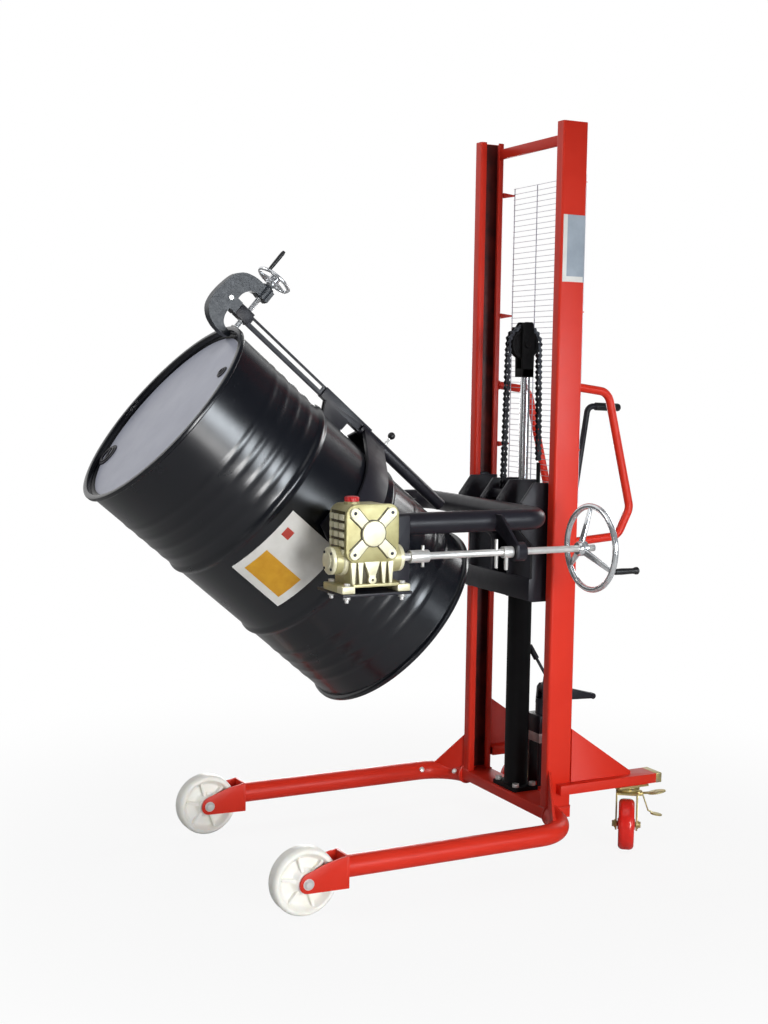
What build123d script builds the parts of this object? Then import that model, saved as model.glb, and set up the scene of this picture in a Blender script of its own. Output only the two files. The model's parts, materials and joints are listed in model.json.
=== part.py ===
from build123d import *
import os
from math import acos, cos, radians, sin

# Manual drum stacker, millimetres. X forward to the drum, Y to the machine's left, Z up from the floor.
# The origin lies on the floor under the middle of the mast.

# Mast
MAST_TOP = 2052.0
BASE_TOP = 136.0
COLUMN_DEPTH = 82.0
COLUMN_FLANGE = 36.0
COLUMN_OUTER_Y = 237.0
COLUMN_WALL = 5.0
COLUMN_SLOT = 42.0
COLUMN_CORNER = 8.0
COLUMN_FRONT = COLUMN_DEPTH / 2
COLUMN_INNER_Y = COLUMN_OUTER_Y - COLUMN_FLANGE
TOP_BAR_Z = (2004.0, 2034.0)

# Base, legs and outriggers
BASE_FRONT = 45.0
BASE_BOTTOM = 109.0
PLATE = 8.0
LEG_Y = 358.0
LEG_Z = 107.0
LEG_RADIUS = 28.5
LEG_WALL = 4.0
LEG_BEND = 110.0
LEG_END_X = 732.0
OUTRIGGER_X = -343.0
OUTRIGGER_Y = (193.0, 263.0)
OUTRIGGER_Z = (178.0, 206.0)
GUSSET_TOP_Z = 360.0

# Front wheels
WHEEL_X = 845.0
WHEEL_RADIUS = 88.0
WHEEL_WIDTH = 50.0
AXLE_RADIUS = 10.0
RUN_FIT = 0.05

# Castors
CASTOR_X = -243.0
CASTOR_Y = 232.0
CASTOR_RADIUS = 72.5
CASTOR_WIDTH = 45.0
CASTOR_TRAIL = 55.0
CASTOR_PIN = 9.0
CASTOR_AXLE = 8.0
CASTOR_TURN = {1: 53.6, -1: -24.0}
BRAKE_Y = 40.0
BRAKE_Z = 148.0
BRAKE_PIN = 2.5

# Lift cylinder, ram and chain
CYLINDER_X = -5.0
CYLINDER_RADIUS = 35.0
CYLINDER_BORE = 30.0
CYLINDER_TOP = 1000.0
GLAND_TOP = 1030.0
ROD_RADIUS = 14.0
PISTON_Z = (405.0, 445.0)
BLOCK_Z = 1355.0
PULLEY_X = 3.0
PULLEY_Z = 1450.0
PULLEY_RADIUS = 54.0
CHAIN_INNER = 54.5
CHAIN_OUTER = 67.5
CHAIN_HALF = 8.0
CHAIN_FRONT_END = 1030.0
CHAIN_REAR_END = 1105.0

# Carriage
CARRIAGE_PLATE_Y = (168.0, 178.0)
CARRIAGE_MID_Y = (40.0, 50.0)
CARRIAGE_Z = (722.0, 1060.0)
ROLLER_Z = (760.0, 1030.0)
ROLLER_RADIUS = 35.5
ROLLER_Y = (210.0, 228.0)
ROLLER_AXLE = 12.0

# Tilting yoke and worm gearbox
YOKE_RADIUS = 28.5
YOKE_WALL = 4.0
YOKE_X = 137.0
YOKE_Y = 335.0
YOKE_Z = 977.0
YOKE_BEND = 65.0
YOKE_END_X = 680.0
TILT_X = 730.0
TILT_Z = 975.0
TILT_DEG = 49.57
SHAFT_RADIUS = 20.0
WORM_Y = 445.0
WORM_Z = 907.0
WORM_RADIUS = 12.0
WHEEL_GEAR_RADIUS = 55.5
GEARBOX_Y = (390.0, 486.0)
GEARBOX_COVER_Y = 500.0
GEARBOX_HALF = 71.0
GEARBOX_FOOT_Z = 831.0
GEARBOX_FEET = ((630.0, 664.0), (779.0, 813.0))
DRIVE_RADIUS = 9.0
COUPLING_X = 588.0

# Handwheel
HANDWHEEL_X = 60.0
HANDWHEEL_RADIUS = 111.0
HANDWHEEL_TUBE = 8.0
HANDWHEEL_HUB_X = (76.0, 104.0)
GRIP_ANGLE = -28.0

# Drum and holder, in the holder's own upright frame about the tilt axis
DRUM_X = 27.0
DRUM_Z = 21.0
DRUM_HEIGHT = 885.0
DRUM_RADIUS = 283.0
DRUM_CHIME_RADIUS = 292.5
DRUM_SHEET = 1.5
DRUM_HOOPS = (-135.0, 135.0)
DRUM_BEADS = (168.0, 198.0, 228.0, 258.0, 288.0)
HOOP_RISE = 8.0
BEAD_RISE = 2.0
LID_DEPTH = 17.0
HOOP_Z = (-86.0, -8.0)
HOOP_INNER = 286.0
HOOP_OUTER = 296.0
TRUNNION_Y = (294.0, 304.0)
NOSE_RADIUS = 12.0
POST_X = -307.5
POST_RADIUS = 16.85
POST_BORE = 13.05
POST_Z = (-341.0, 0.0)
CHEEK_Z = (-30.0, 150.0)
BAR_X = (-325.5, -295.0)
BAR_HALF = 4.0
BAR_Z = (5.3, 530.0)
TONGUE_X = (-319.4, -295.6)
TONGUE_Z = -110.0
SLOT_X = (-320.0, -307.5)
SLOT_Z = (158.0, 426.0)
SCREW_Z = 450.0
SCREW_RADIUS = 7.5
CLAMP_WHEEL = 47.0
LOCK_Z = -91.0

# Guard and handles
GUARD_X = (-76.5, -73.5)
GUARD_Z = (1000.0, 1921.0)
GUARD_HALF = 197.5
GUARD_ROWS = 57
GUARD_WIRE = 3.0
HANDLE_Y = 210.0
HANDLE_RADIUS = 12.0

# Hand pump
PUMP_X = -95.0
LEVER_PIVOT = (-100.0, 425.0)
PEDAL_PIVOT = (-138.0, 380.0)


def block(xs, ys, zs):
    """Box between two corners given as pairs along each axis."""
    size = [abs(b - a) for a, b in (xs, ys, zs)]
    middle = [(a + b) / 2 for a, b in (xs, ys, zs)]
    return Pos(*middle) * Box(*size)


def rod(start, end, radius):
    """Round bar between two points."""
    axis = Vector(*end) - Vector(*start)
    return Part() + Solid.make_cylinder(radius, axis.length, Plane(origin=start, z_dir=axis))


def ring(start, end, radius, bore):
    """Round bar with a bore through it."""
    axis = (Vector(*end) - Vector(*start)).normalized()
    low = Vector(*start) - axis
    high = Vector(*end) + axis
    return rod(start, end, radius) - rod(low, high, bore)


def slab_xz(points, ys):
    """Plate cut to an outline in X and Z, lying between two Y planes."""
    outline = make_face(Polyline(*[(x, ys[0], z) for x, z in points], close=True))
    return extrude(outline, amount=ys[1] - ys[0], dir=(0, 1, 0))


def slab_yz(points, xs):
    """Plate cut to an outline in Y and Z, lying between two X planes."""
    outline = make_face(Polyline(*[(xs[0], y, z) for y, z in points], close=True))
    return extrude(outline, amount=xs[1] - xs[0], dir=(1, 0, 0))


def slab_xy(points, zs):
    """Plate cut to an outline in X and Y, lying between two Z planes."""
    outline = make_face(Polyline(*[(x, y, zs[0]) for x, y in points], close=True))
    return extrude(outline, amount=zs[1] - zs[0], dir=(0, 0, 1))


def bent_rod(points, bend, radius):
    """Round bar along straight runs joined by bends."""
    path = FilletPolyline(*points, radius=bend)
    section = Plane(origin=path @ 0, z_dir=path % 0) * Circle(radius)
    return sweep(section, path=path)


def bent_tube(points, bend, radius, wall):
    """Hollow tube along straight runs joined by bends."""
    return bent_rod(points, bend, radius) - bent_rod(points, bend, radius - wall)


def hex_head(centre, direction, across, height):
    """Hexagon bolt head standing on a surface."""
    seat = Plane(origin=centre, z_dir=direction)
    return extrude(seat * RegularPolygon(across / 2, 6, major_radius=False), amount=height)


def round_rim(centre, radius, tube):
    """Wheel rim about an axis along X, with a twelve-sided section."""
    section = Plane(origin=(centre[0], centre[1] + radius, centre[2]), x_dir=(1, 0, 0), z_dir=(0, 0, 1))
    outline = section * Rot(0, 0, 15) * RegularPolygon(tube, 12)
    return revolve(outline, axis=Axis(centre, (1, 0, 0)), revolution_arc=360)


def group(pieces):
    """Separate solids kept together in one node."""
    solids = []
    for piece in pieces:
        solids.extend(piece.solids())
    return Compound(children=solids)


def sided(pair, side):
    """Y range of a left-hand piece, or its mirror for the right side."""
    return tuple(sorted(side * y for y in pair))


def in_holder(shape):
    """Place a piece of the upright drum holder at the tilt it has at rest."""
    return Pos(TILT_X, 0, TILT_Z) * Rot(0, TILT_DEG, 0) * shape


def in_castor(shape, side):
    """Place a castor piece under its plate, turned as it rests."""
    return Pos(CASTOR_X, side * CASTOR_Y, 0) * Rot(0, 0, CASTOR_TURN[side]) * shape


# Mast and chassis


def mast_channel(side):
    """Lipped channel that the carriage rollers run in."""
    middle = side * (COLUMN_OUTER_Y - COLUMN_FLANGE / 2)
    height = MAST_TOP - BASE_TOP
    outline = RectangleRounded(COLUMN_DEPTH, COLUMN_FLANGE, COLUMN_CORNER)
    cavity = RectangleRounded(COLUMN_DEPTH - 2 * COLUMN_WALL, COLUMN_FLANGE - 2 * COLUMN_WALL, 3)
    shell = extrude(Pos(0, middle, BASE_TOP) * (outline - cavity), amount=height)
    slot_y = sided((COLUMN_INNER_Y - 1, COLUMN_INNER_Y + COLUMN_WALL + 1), side)
    return shell - block((-COLUMN_SLOT / 2, COLUMN_SLOT / 2), slot_y, (BASE_TOP - 1, MAST_TOP + 1))


def mast_top_bar():
    """Flat bar tying the rear lips of both channels."""
    return block((-COLUMN_FRONT + 8, -COLUMN_FRONT + 16), (-COLUMN_INNER_Y, COLUMN_INNER_Y), TOP_BAR_Z)


def base_frame():
    """Inverted channel under both columns with end plates for the legs and a shelf for the pump."""
    beam = block((-COLUMN_FRONT, BASE_FRONT), (-COLUMN_OUTER_Y, COLUMN_OUTER_Y), (BASE_BOTTOM, BASE_TOP))
    inside = COLUMN_OUTER_Y - PLATE
    hollow_x = (-COLUMN_FRONT + PLATE, BASE_FRONT - PLATE)
    beam -= block(hollow_x, (-inside, inside), (BASE_BOTTOM - 1, BASE_TOP - PLATE))
    beam += block((-135, -COLUMN_FRONT), (-60, 60), (BASE_TOP - PLATE, BASE_TOP))
    for side in (1, -1):
        beam += block((-COLUMN_FRONT, 75), sided((inside, COLUMN_OUTER_Y), side), (78, BASE_TOP))
    return beam


def outrigger(side):
    """Box beam behind a column with a stub beside it and a triangular gusset on top."""
    beam = block((OUTRIGGER_X, -COLUMN_FRONT), sided(OUTRIGGER_Y, side), OUTRIGGER_Z)
    hollow_y = sided((OUTRIGGER_Y[0] + 4, OUTRIGGER_Y[1] - 4), side)
    hollow_z = (OUTRIGGER_Z[0] + 4, OUTRIGGER_Z[1] - 4)
    beam -= block((OUTRIGGER_X + 4, -COLUMN_FRONT + 1), hollow_y, hollow_z)
    beam += block((-COLUMN_FRONT, 10), sided((COLUMN_OUTER_Y, OUTRIGGER_Y[1]), side), OUTRIGGER_Z)
    corner = [(-COLUMN_FRONT, OUTRIGGER_Z[1]), (-COLUMN_FRONT, GUSSET_TOP_Z), (-250, OUTRIGGER_Z[1] + 9),
              (-250, OUTRIGGER_Z[1])]
    return beam + slab_xz(corner, sided((COLUMN_OUTER_Y - PLATE, COLUMN_OUTER_Y), side))


def wheel_fork(side):
    """Rear plate and two tapered cheeks that carry a front axle."""
    middle = side * LEG_Y
    fork = block((LEG_END_X, LEG_END_X + PLATE), (middle - 40, middle + 40), (61, 145))
    cheek = [(LEG_END_X + PLATE, 61), (LEG_END_X + PLATE, 145), (790, 136), (856, 109), (852, 65)]
    for offset in (-36, 30):
        faces = (middle + offset, middle + offset + 6)
        nose = rod((WHEEL_X, faces[0], WHEEL_RADIUS), (WHEEL_X, faces[1], WHEEL_RADIUS), 24)
        fork += slab_xz(cheek, faces) + nose
    return fork - rod((WHEEL_X, middle - 60, WHEEL_RADIUS), (WHEEL_X, middle + 60, WHEEL_RADIUS), AXLE_RADIUS)


def leg_gusset(side):
    """Upright triangular plate from the column's outer face down onto the bend of the leg."""
    run = [(28, 237), (36, 237), (91, 351), (83, 351)]
    plate = slab_xy([(x, side * y) for x, y in run], (LEG_Z, 246))
    slope = slab_yz([(side * 237, 246), (side * 360, 246), (side * 360, 126)], (0, 140))
    return plate - slope


def leg(side):
    """Bent straddle leg with its wheel fork and front gusset."""
    middle = side * LEG_Y
    points = [(LEG_END_X, middle, LEG_Z), (40, middle, LEG_Z), (40, side * COLUMN_OUTER_Y, LEG_Z)]
    tube = bent_rod(points, LEG_BEND, LEG_RADIUS) + leg_gusset(side)
    tube -= bent_rod(points, LEG_BEND, LEG_RADIUS - LEG_WALL)
    return tube + wheel_fork(side)


def push_handle(side):
    """Bent tube grip behind a column."""
    y = side * HANDLE_Y
    points = [(-30, y, 1331.5), (-150, y, 1316), (-236, y, 985), (-196, y, 905), (-30, y, 892)]
    tube = bent_tube(points, 40, HANDLE_RADIUS, 2.5)
    return tube - block((-COLUMN_FRONT, 0), (y - 20, y + 20), (850, 1360))


def mesh_guard():
    """Welded wire guard behind the lift chain, on short brackets from the columns."""
    height = GUARD_Z[1] - GUARD_Z[0]
    pitch_z = (height - GUARD_WIRE) / GUARD_ROWS
    pitch_y = (2 * GUARD_HALF - GUARD_WIRE) / 3
    gap = Rectangle(pitch_y - GUARD_WIRE, pitch_z - GUARD_WIRE)
    net = Rectangle(2 * GUARD_HALF, height)
    net -= [spot * gap for spot in GridLocations(pitch_y, pitch_z, 3, GUARD_ROWS)]
    wall = Plane(origin=(GUARD_X[0], 0, sum(GUARD_Z) / 2), x_dir=(0, 1, 0), z_dir=(1, 0, 0))
    guard = extrude(wall * net, amount=GUARD_X[1] - GUARD_X[0])
    for z in (1900, 1540, 1260, 1060):
        for side in (1, -1):
            guard += block((GUARD_X[1], -COLUMN_FRONT), sided((186, 216), side), (z - 8, z + 8))
    return guard


def front_axle(side):
    """Wheel axle with a flat head on each cheek."""
    middle = side * LEG_Y
    axle = rod((WHEEL_X, middle - 44, WHEEL_RADIUS), (WHEEL_X, middle + 44, WHEEL_RADIUS), AXLE_RADIUS)
    for low in (-44, 36):
        axle += rod((WHEEL_X, middle + low, WHEEL_RADIUS), (WHEEL_X, middle + low + 8, WHEEL_RADIUS), 15)
    return axle


def front_wheel(side):
    """Nylon wheel with a thin web and radial ribs."""
    middle = side * LEG_Y
    half = WHEEL_WIDTH / 2
    hub = (WHEEL_X, middle - half - 2, WHEEL_RADIUS)
    hub_end = (WHEEL_X, middle + half + 2, WHEEL_RADIUS)
    low = (WHEEL_X, middle - half, WHEEL_RADIUS)
    high = (WHEEL_X, middle + half, WHEEL_RADIUS)
    wheel = ring(low, high, WHEEL_RADIUS, WHEEL_RADIUS - 17) + rod(hub, hub_end, 27)
    wheel += rod((WHEEL_X, middle - 6, WHEEL_RADIUS), (WHEEL_X, middle + 6, WHEEL_RADIUS), 74)
    for turn in range(0, 180, 36):
        rib = Box(150, WHEEL_WIDTH - 12, 6)
        wheel += Pos(WHEEL_X, middle, WHEEL_RADIUS) * Rot(0, turn + 12, 0) * rib
    tread = [e for e in wheel.edges().filter_by(GeomType.CIRCLE) if abs(e.radius - WHEEL_RADIUS) < 0.1]
    wheel = chamfer(tread, 4)
    return wheel - rod((WHEEL_X, middle - 60, WHEEL_RADIUS), (WHEEL_X, middle + 60, WHEEL_RADIUS),
                       AXLE_RADIUS + RUN_FIT)


# Castors


def castor_plate(side):
    """Fixed top plate of a castor."""
    middle = side * CASTOR_Y
    plate = block((CASTOR_X - 52, CASTOR_X + 52), (middle - 34, middle + 34), (172, OUTRIGGER_Z[0]))
    pin = CASTOR_PIN + RUN_FIT
    return plate - rod((CASTOR_X, middle, 160), (CASTOR_X, middle, OUTRIGGER_Z[0] - 0.2), pin)


def castor_yoke(side):
    """Swivel head, two legs and the axle of a castor."""
    head = rod((0, 0, 160), (0, 0, 171.7), 28) + rod((0, 0, 165), (0, 0, 177.4), CASTOR_PIN)
    head += block((-32, 50), (-32, 32), (155, 160))
    cheek = [(-30, 160), (50, 160), (CASTOR_TRAIL + 18, CASTOR_RADIUS), (CASTOR_TRAIL - 18, CASTOR_RADIUS)]
    for low in (-32, 27):
        faces = (low, low + 5)
        nose = rod((CASTOR_TRAIL, low, CASTOR_RADIUS), (CASTOR_TRAIL, low + 5, CASTOR_RADIUS), 18)
        head += slab_xz(cheek, faces) + nose
    head += rod((CASTOR_TRAIL, -37, CASTOR_RADIUS), (CASTOR_TRAIL, 37, CASTOR_RADIUS), CASTOR_AXLE)
    for low in (-25, -5):
        head += rod((low, BRAKE_Y, BRAKE_Z), (low + 8, BRAKE_Y, BRAKE_Z), 5)
        head += block((low, low + 8), (30, BRAKE_Y), (BRAKE_Z - 5, BRAKE_Z + 5))
    head += rod((-20, BRAKE_Y, BRAKE_Z), (0, BRAKE_Y, BRAKE_Z), BRAKE_PIN)
    return in_castor(head, side)


def castor_wheel(side):
    """Rounded polyurethane tyre and core."""
    half = CASTOR_WIDTH / 2
    low = (CASTOR_TRAIL, -half, CASTOR_RADIUS)
    high = (CASTOR_TRAIL, half, CASTOR_RADIUS)
    wheel = rod(low, high, CASTOR_RADIUS)
    wheel = fillet(wheel.edges().filter_by(GeomType.CIRCLE), 7)
    for start, end in ((-half - 1, -half + 7), (half - 7, half + 1)):
        wheel -= ring((CASTOR_TRAIL, start, CASTOR_RADIUS), (CASTOR_TRAIL, end, CASTOR_RADIUS), 48, 22)
    wheel -= rod((CASTOR_TRAIL, -half - 1, CASTOR_RADIUS), (CASTOR_TRAIL, half + 1, CASTOR_RADIUS),
                 CASTOR_AXLE + RUN_FIT)
    return in_castor(wheel, side)


def brake_pedal(side):
    """Two-tongue foot brake hinged beside the castor head."""
    xs = (-16, -6)
    pedal = rod((xs[0], BRAKE_Y, BRAKE_Z), (xs[1], BRAKE_Y, BRAKE_Z), 5.5)
    pedal += slab_yz([(BRAKE_Y + 2, 142), (BRAKE_Y + 2, 153), (84, 164), (84, 140), (56, 132)], xs)
    pedal += rod((-18, 88, 151), (-4, 88, 151), 17)
    pedal += slab_yz([(50, 138), (62, 136), (72, 100), (100, 94), (104, 86), (66, 86), (50, 112)], xs)
    pedal -= rod((-30, BRAKE_Y, BRAKE_Z), (10, BRAKE_Y, BRAKE_Z), BRAKE_PIN + RUN_FIT)
    return in_castor(pedal, side)


# Lift


def lift_cylinder():
    """Cylinder barrel with its bolted base flange and rear port."""
    barrel = rod((CYLINDER_X, 0, BASE_TOP), (CYLINDER_X, 0, CYLINDER_TOP), CYLINDER_RADIUS)
    barrel += block((CYLINDER_X - 40, CYLINDER_X + 42), (-60, 60), (BASE_TOP, BASE_TOP + 12))
    barrel += rod((CYLINDER_X, 0, 545), (-52, 0, 545), 11)
    return barrel - rod((CYLINDER_X, 0, 150), (CYLINDER_X, 0, CYLINDER_TOP + 1), CYLINDER_BORE)


def cylinder_gland():
    """Gland ring with a bracket and threaded rod that anchor the rear chain."""
    low = (CYLINDER_X, 0, CYLINDER_TOP)
    high = (CYLINDER_X, 0, GLAND_TOP)
    anchor_x = PULLEY_X - (CHAIN_INNER + CHAIN_OUTER) / 2
    gland = rod(low, high, 38) + block((anchor_x - 12, CYLINDER_X), (-15, 15), (GLAND_TOP - 12, GLAND_TOP))
    gland += rod((anchor_x, 0, 1000), (anchor_x, 0, CHAIN_REAR_END), 6)
    for z in (GLAND_TOP - 22, GLAND_TOP):
        gland += hex_head((anchor_x, 0, z), (0, 0, 1), 19, 10)
    return gland - rod((CYLINDER_X, 0, 990), (CYLINDER_X, 0, 1040), ROD_RADIUS + RUN_FIT)


def frame_bolts():
    """Hexagon bolts of the cylinder flange."""
    spots = [(CYLINDER_X + dx, dy) for dx in (-28, 30) for dy in (-48, 48)]
    return group([hex_head((x, y, BASE_TOP + 12), (0, 0, 1), 19, 11) for x, y in spots])


def ram_rod():
    """Polished lift rod with its piston."""
    rising = rod((CYLINDER_X, 0, PISTON_Z[1]), (CYLINDER_X, 0, BLOCK_Z), ROD_RADIUS)
    return rising + rod((CYLINDER_X, 0, PISTON_Z[0]), (CYLINDER_X, 0, PISTON_Z[1]), CYLINDER_BORE - RUN_FIT)


def pulley_block():
    """Rod head with two cheeks and the pin of the chain pulley."""
    cheek = [(-27, BLOCK_Z), (33, BLOCK_Z), (33, 1396), (53, 1420), (53, 1472), (36, 1515), (-30, 1515),
             (-47, 1472), (-47, 1420), (-27, 1396)]
    head = block((-27, 33), (-21, 21), (BLOCK_Z, BLOCK_Z + 25))
    for side in (1, -1):
        head += slab_xz(cheek, sided((13, 21), side))
    return head + rod((PULLEY_X, -25, PULLEY_Z), (PULLEY_X, 25, PULLEY_Z), 10)


def chain_pulley():
    """Grooved pulley turning on the block's pin."""
    wheel = rod((PULLEY_X, -11, PULLEY_Z), (PULLEY_X, 11, PULLEY_Z), PULLEY_RADIUS)
    return wheel - rod((PULLEY_X, -20, PULLEY_Z), (PULLEY_X, 20, PULLEY_Z), 10 + RUN_FIT)


def chain_wrap():
    """Leaf chain lying over the upper half of the pulley."""
    arc = ring((PULLEY_X, -CHAIN_HALF, PULLEY_Z), (PULLEY_X, CHAIN_HALF, PULLEY_Z), CHAIN_OUTER, CHAIN_INNER)
    return arc - block((-100, 100), (-20, 20), (PULLEY_Z - 100, PULLEY_Z))


def chain_front():
    """Chain run from the pulley down to the carriage."""
    xs = (PULLEY_X + CHAIN_INNER, PULLEY_X + CHAIN_OUTER)
    return block(xs, (-CHAIN_HALF, CHAIN_HALF), (CHAIN_FRONT_END, PULLEY_Z))


def chain_rear():
    """Chain run from the pulley down to the fixed anchor."""
    xs = (PULLEY_X - CHAIN_OUTER, PULLEY_X - CHAIN_INNER)
    return block(xs, (-CHAIN_HALF, CHAIN_HALF), (CHAIN_REAR_END, PULLEY_Z))


def carriage_frame():
    """Side and middle plates tied by the lower bar, with the chain lug."""
    low, high = CARRIAGE_Z
    profile = [(-20, low), (70, low), (70, 884), (110, 924), (110, 1006), (70, high), (-20, high)]
    frame = block((70, 80), (-CARRIAGE_PLATE_Y[1], CARRIAGE_PLATE_Y[1]), (726, 789))
    for side in (1, -1):
        frame += slab_xz(profile, sided(CARRIAGE_PLATE_Y, side))
        frame += slab_xz(profile, sided(CARRIAGE_MID_Y, side))
    frame += block((50, 76), (-CARRIAGE_MID_Y[0], CARRIAGE_MID_Y[0]), (1004, CHAIN_FRONT_END))
    return frame - rod((YOKE_X, -300, YOKE_Z), (YOKE_X, 300, YOKE_Z), YOKE_RADIUS)


def roller_axles():
    """Stub axles from the carriage plates into the channels."""
    stubs = []
    for z in ROLLER_Z:
        for side in (1, -1):
            stubs.append(rod((0, side * CARRIAGE_PLATE_Y[1], z), (0, side * 229, z), ROLLER_AXLE))
    return group(stubs)


def roller_pair(z):
    """Left and right guide rollers on one axle line."""
    rollers = []
    for side in (1, -1):
        rollers.append(ring((0, side * ROLLER_Y[0], z), (0, side * ROLLER_Y[1], z), ROLLER_RADIUS,
                            ROLLER_AXLE + RUN_FIT))
    return group(rollers)


# Tilter


def yoke_points():
    """Corners of the U-shaped tilter tube."""
    return [(YOKE_END_X, YOKE_Y, YOKE_Z), (YOKE_X, YOKE_Y, YOKE_Z),
            (YOKE_X, -YOKE_Y, YOKE_Z), (YOKE_END_X, -YOKE_Y, YOKE_Z)]


def yoke_tube():
    """One round tube bent into two forward arms."""
    return bent_tube(yoke_points(), YOKE_BEND, YOKE_RADIUS, YOKE_WALL)


def near_arm():
    """Outer volume of the left arm, used to cut brackets to it."""
    return rod((200, YOKE_Y, YOKE_Z), (YOKE_END_X, YOKE_Y, YOKE_Z), YOKE_RADIUS)


def far_pivot_bearing():
    """Bearing block on the end of the right arm."""
    outline = [(YOKE_END_X, 940), (YOKE_END_X, 1014), (735, 1018), (770, 1000), (772, 955), (735, 934)]
    body = slab_xz(outline, (-355, -315))
    return body - rod((TILT_X, -400, TILT_Z), (TILT_X, -300, TILT_Z), SHAFT_RADIUS + RUN_FIT)


def gearbox_bracket():
    """Upright plate on the left arm and the shelf that carries the gearbox."""
    shelf = block((626, 813), (356, 506), (GEARBOX_FOOT_Z - 7, GEARBOX_FOOT_Z))
    upright = block((560, YOKE_END_X), (356, 364), (GEARBOX_FOOT_Z - 7, 1000))
    rib = slab_yz([(364, GEARBOX_FOOT_Z), (386, GEARBOX_FOOT_Z), (386, 843), (364, 880)], (614, 622))
    foot = block((614, 626), (356, 386), (GEARBOX_FOOT_Z - 7, GEARBOX_FOOT_Z))
    return shelf + upright + rib + foot - near_arm()


def gear_case(half, corner, ys):
    """Rounded square prism about the tilt axis."""
    outline = Plane(origin=(TILT_X, ys[0], TILT_Z), x_dir=(1, 0, 0), z_dir=(0, 1, 0))
    return extrude(outline * RectangleRounded(2 * half, 2 * half, corner), amount=ys[1] - ys[0])


def gearbox_housing():
    """Worm reducer case: square wheel chamber over the worm tunnel, ribbed skirt and two long feet."""
    near, far = GEARBOX_Y
    case = gear_case(GEARBOX_HALF - 2, 28, (near, far))
    case += block((675, 785), (near + 6, far), (845, 930))
    case += rod((642, WORM_Y, WORM_Z), (818, WORM_Y, WORM_Z), 34)
    case += block((660, 783), (near + 4, 498), (845, 853))
    for xs in GEARBOX_FEET:
        case += block(xs, (near, 502), (GEARBOX_FOOT_Z, GEARBOX_FOOT_Z + 18))
    for x in (679, 702, 758, 781):
        case += block((x - 3, x + 3), (far - 2, far + 9), (853, 903.5))
    case += block((716, 744), (far - 2, far + 9), (853, 903.5))
    for z in (925, 950, 975, 1000, 1025):
        case += block((795, 803), (near + 8, far - 10), (z - 3, z + 3))
    case += rod((762, 440, 1030), (762, 440, 1054), 19)
    case -= rod((TILT_X, near + 12, TILT_Z), (TILT_X, far + 20, TILT_Z), 60)
    case -= rod((630, WORM_Y, WORM_Z), (830, WORM_Y, WORM_Z), 22)
    return case - rod((TILT_X, near - 5, TILT_Z), (TILT_X, near + 20, TILT_Z), SHAFT_RADIUS + RUN_FIT)


def cover_bolt_spots():
    """Corner places of the cover bolts in X and Z."""
    return [(TILT_X + dx, TILT_Z + dz) for dx in (-50, 50) for dz in (-50, 50)]


def gearbox_cover():
    """Square output cover with crossed ribs and the two worm bearing covers."""
    face = GEARBOX_COVER_Y
    base = GEARBOX_Y[1]
    cover = gear_case(GEARBOX_HALF, 28, (base, face - 6))
    cover += rod((TILT_X, base, TILT_Z), (TILT_X, face + 3, TILT_Z), 30)
    for turn in (45, 135):
        cover += Pos(TILT_X, face - 5, TILT_Z) * Rot(0, turn, 0) * Box(142, 8, 24)
    for x, z in cover_bolt_spots():
        cover += rod((x, base, z), (x, face - 1, z), 13)
    cover -= rod((TILT_X, base - 1, TILT_Z), (TILT_X, face - 6, TILT_Z), SHAFT_RADIUS + RUN_FIT)
    rear = ring((632, WORM_Y, WORM_Z), (642, WORM_Y, WORM_Z), 33, 10 + RUN_FIT)
    front = rod((818, WORM_Y, WORM_Z), (826, WORM_Y, WORM_Z), 34)
    front += rod((826, WORM_Y, WORM_Z), (830, WORM_Y, WORM_Z), 20)
    return group([cover, rear, front])


def gearbox_bolts():
    """Cover bolts, foot bolts through the shelf and the filler cap of the gearbox."""
    bolts = []
    for x, z in cover_bolt_spots():
        bolts.append(hex_head((x, GEARBOX_COVER_Y - 1, z), (0, 1, 0), 12, 5))
    for xs in GEARBOX_FEET:
        for y in (402, 490):
            x = (xs[0] + xs[1]) / 2
            bolts.append(hex_head((x, y, GEARBOX_FOOT_Z + 18), (0, 0, 1), 14, 7))
            below = hex_head((x, y, GEARBOX_FOOT_Z - 7), (0, 0, -1), 16, 8)
            bolts.append(below + rod((x, y, GEARBOX_FOOT_Z - 14), (x, y, GEARBOX_FOOT_Z - 23), 5))
    bolts.append(rod((762, 440, 1054), (762, 440, 1067), 17))
    return group(bolts)


def shaft_bearing():
    """Round bearing of the handwheel shaft on a hooked plate hung from the left arm."""
    hook = [(352, 960), (356, 996), (384, 996), (470, 925), (470, 890), (422, 890), (416, 925)]
    body = slab_yz(hook, (296, 304)) + rod((272, WORM_Y, WORM_Z), (304, WORM_Y, WORM_Z), 25)
    body -= near_arm()
    return body - rod((200, WORM_Y, WORM_Z), (400, WORM_Y, WORM_Z), DRIVE_RADIUS + RUN_FIT)


def worm_shaft():
    """Worm with its shaft ends."""
    shaft = rod((COUPLING_X, WORM_Y, WORM_Z), (817, WORM_Y, WORM_Z), 10)
    return shaft + rod((700, WORM_Y, WORM_Z), (760, WORM_Y, WORM_Z), WORM_RADIUS)


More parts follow.
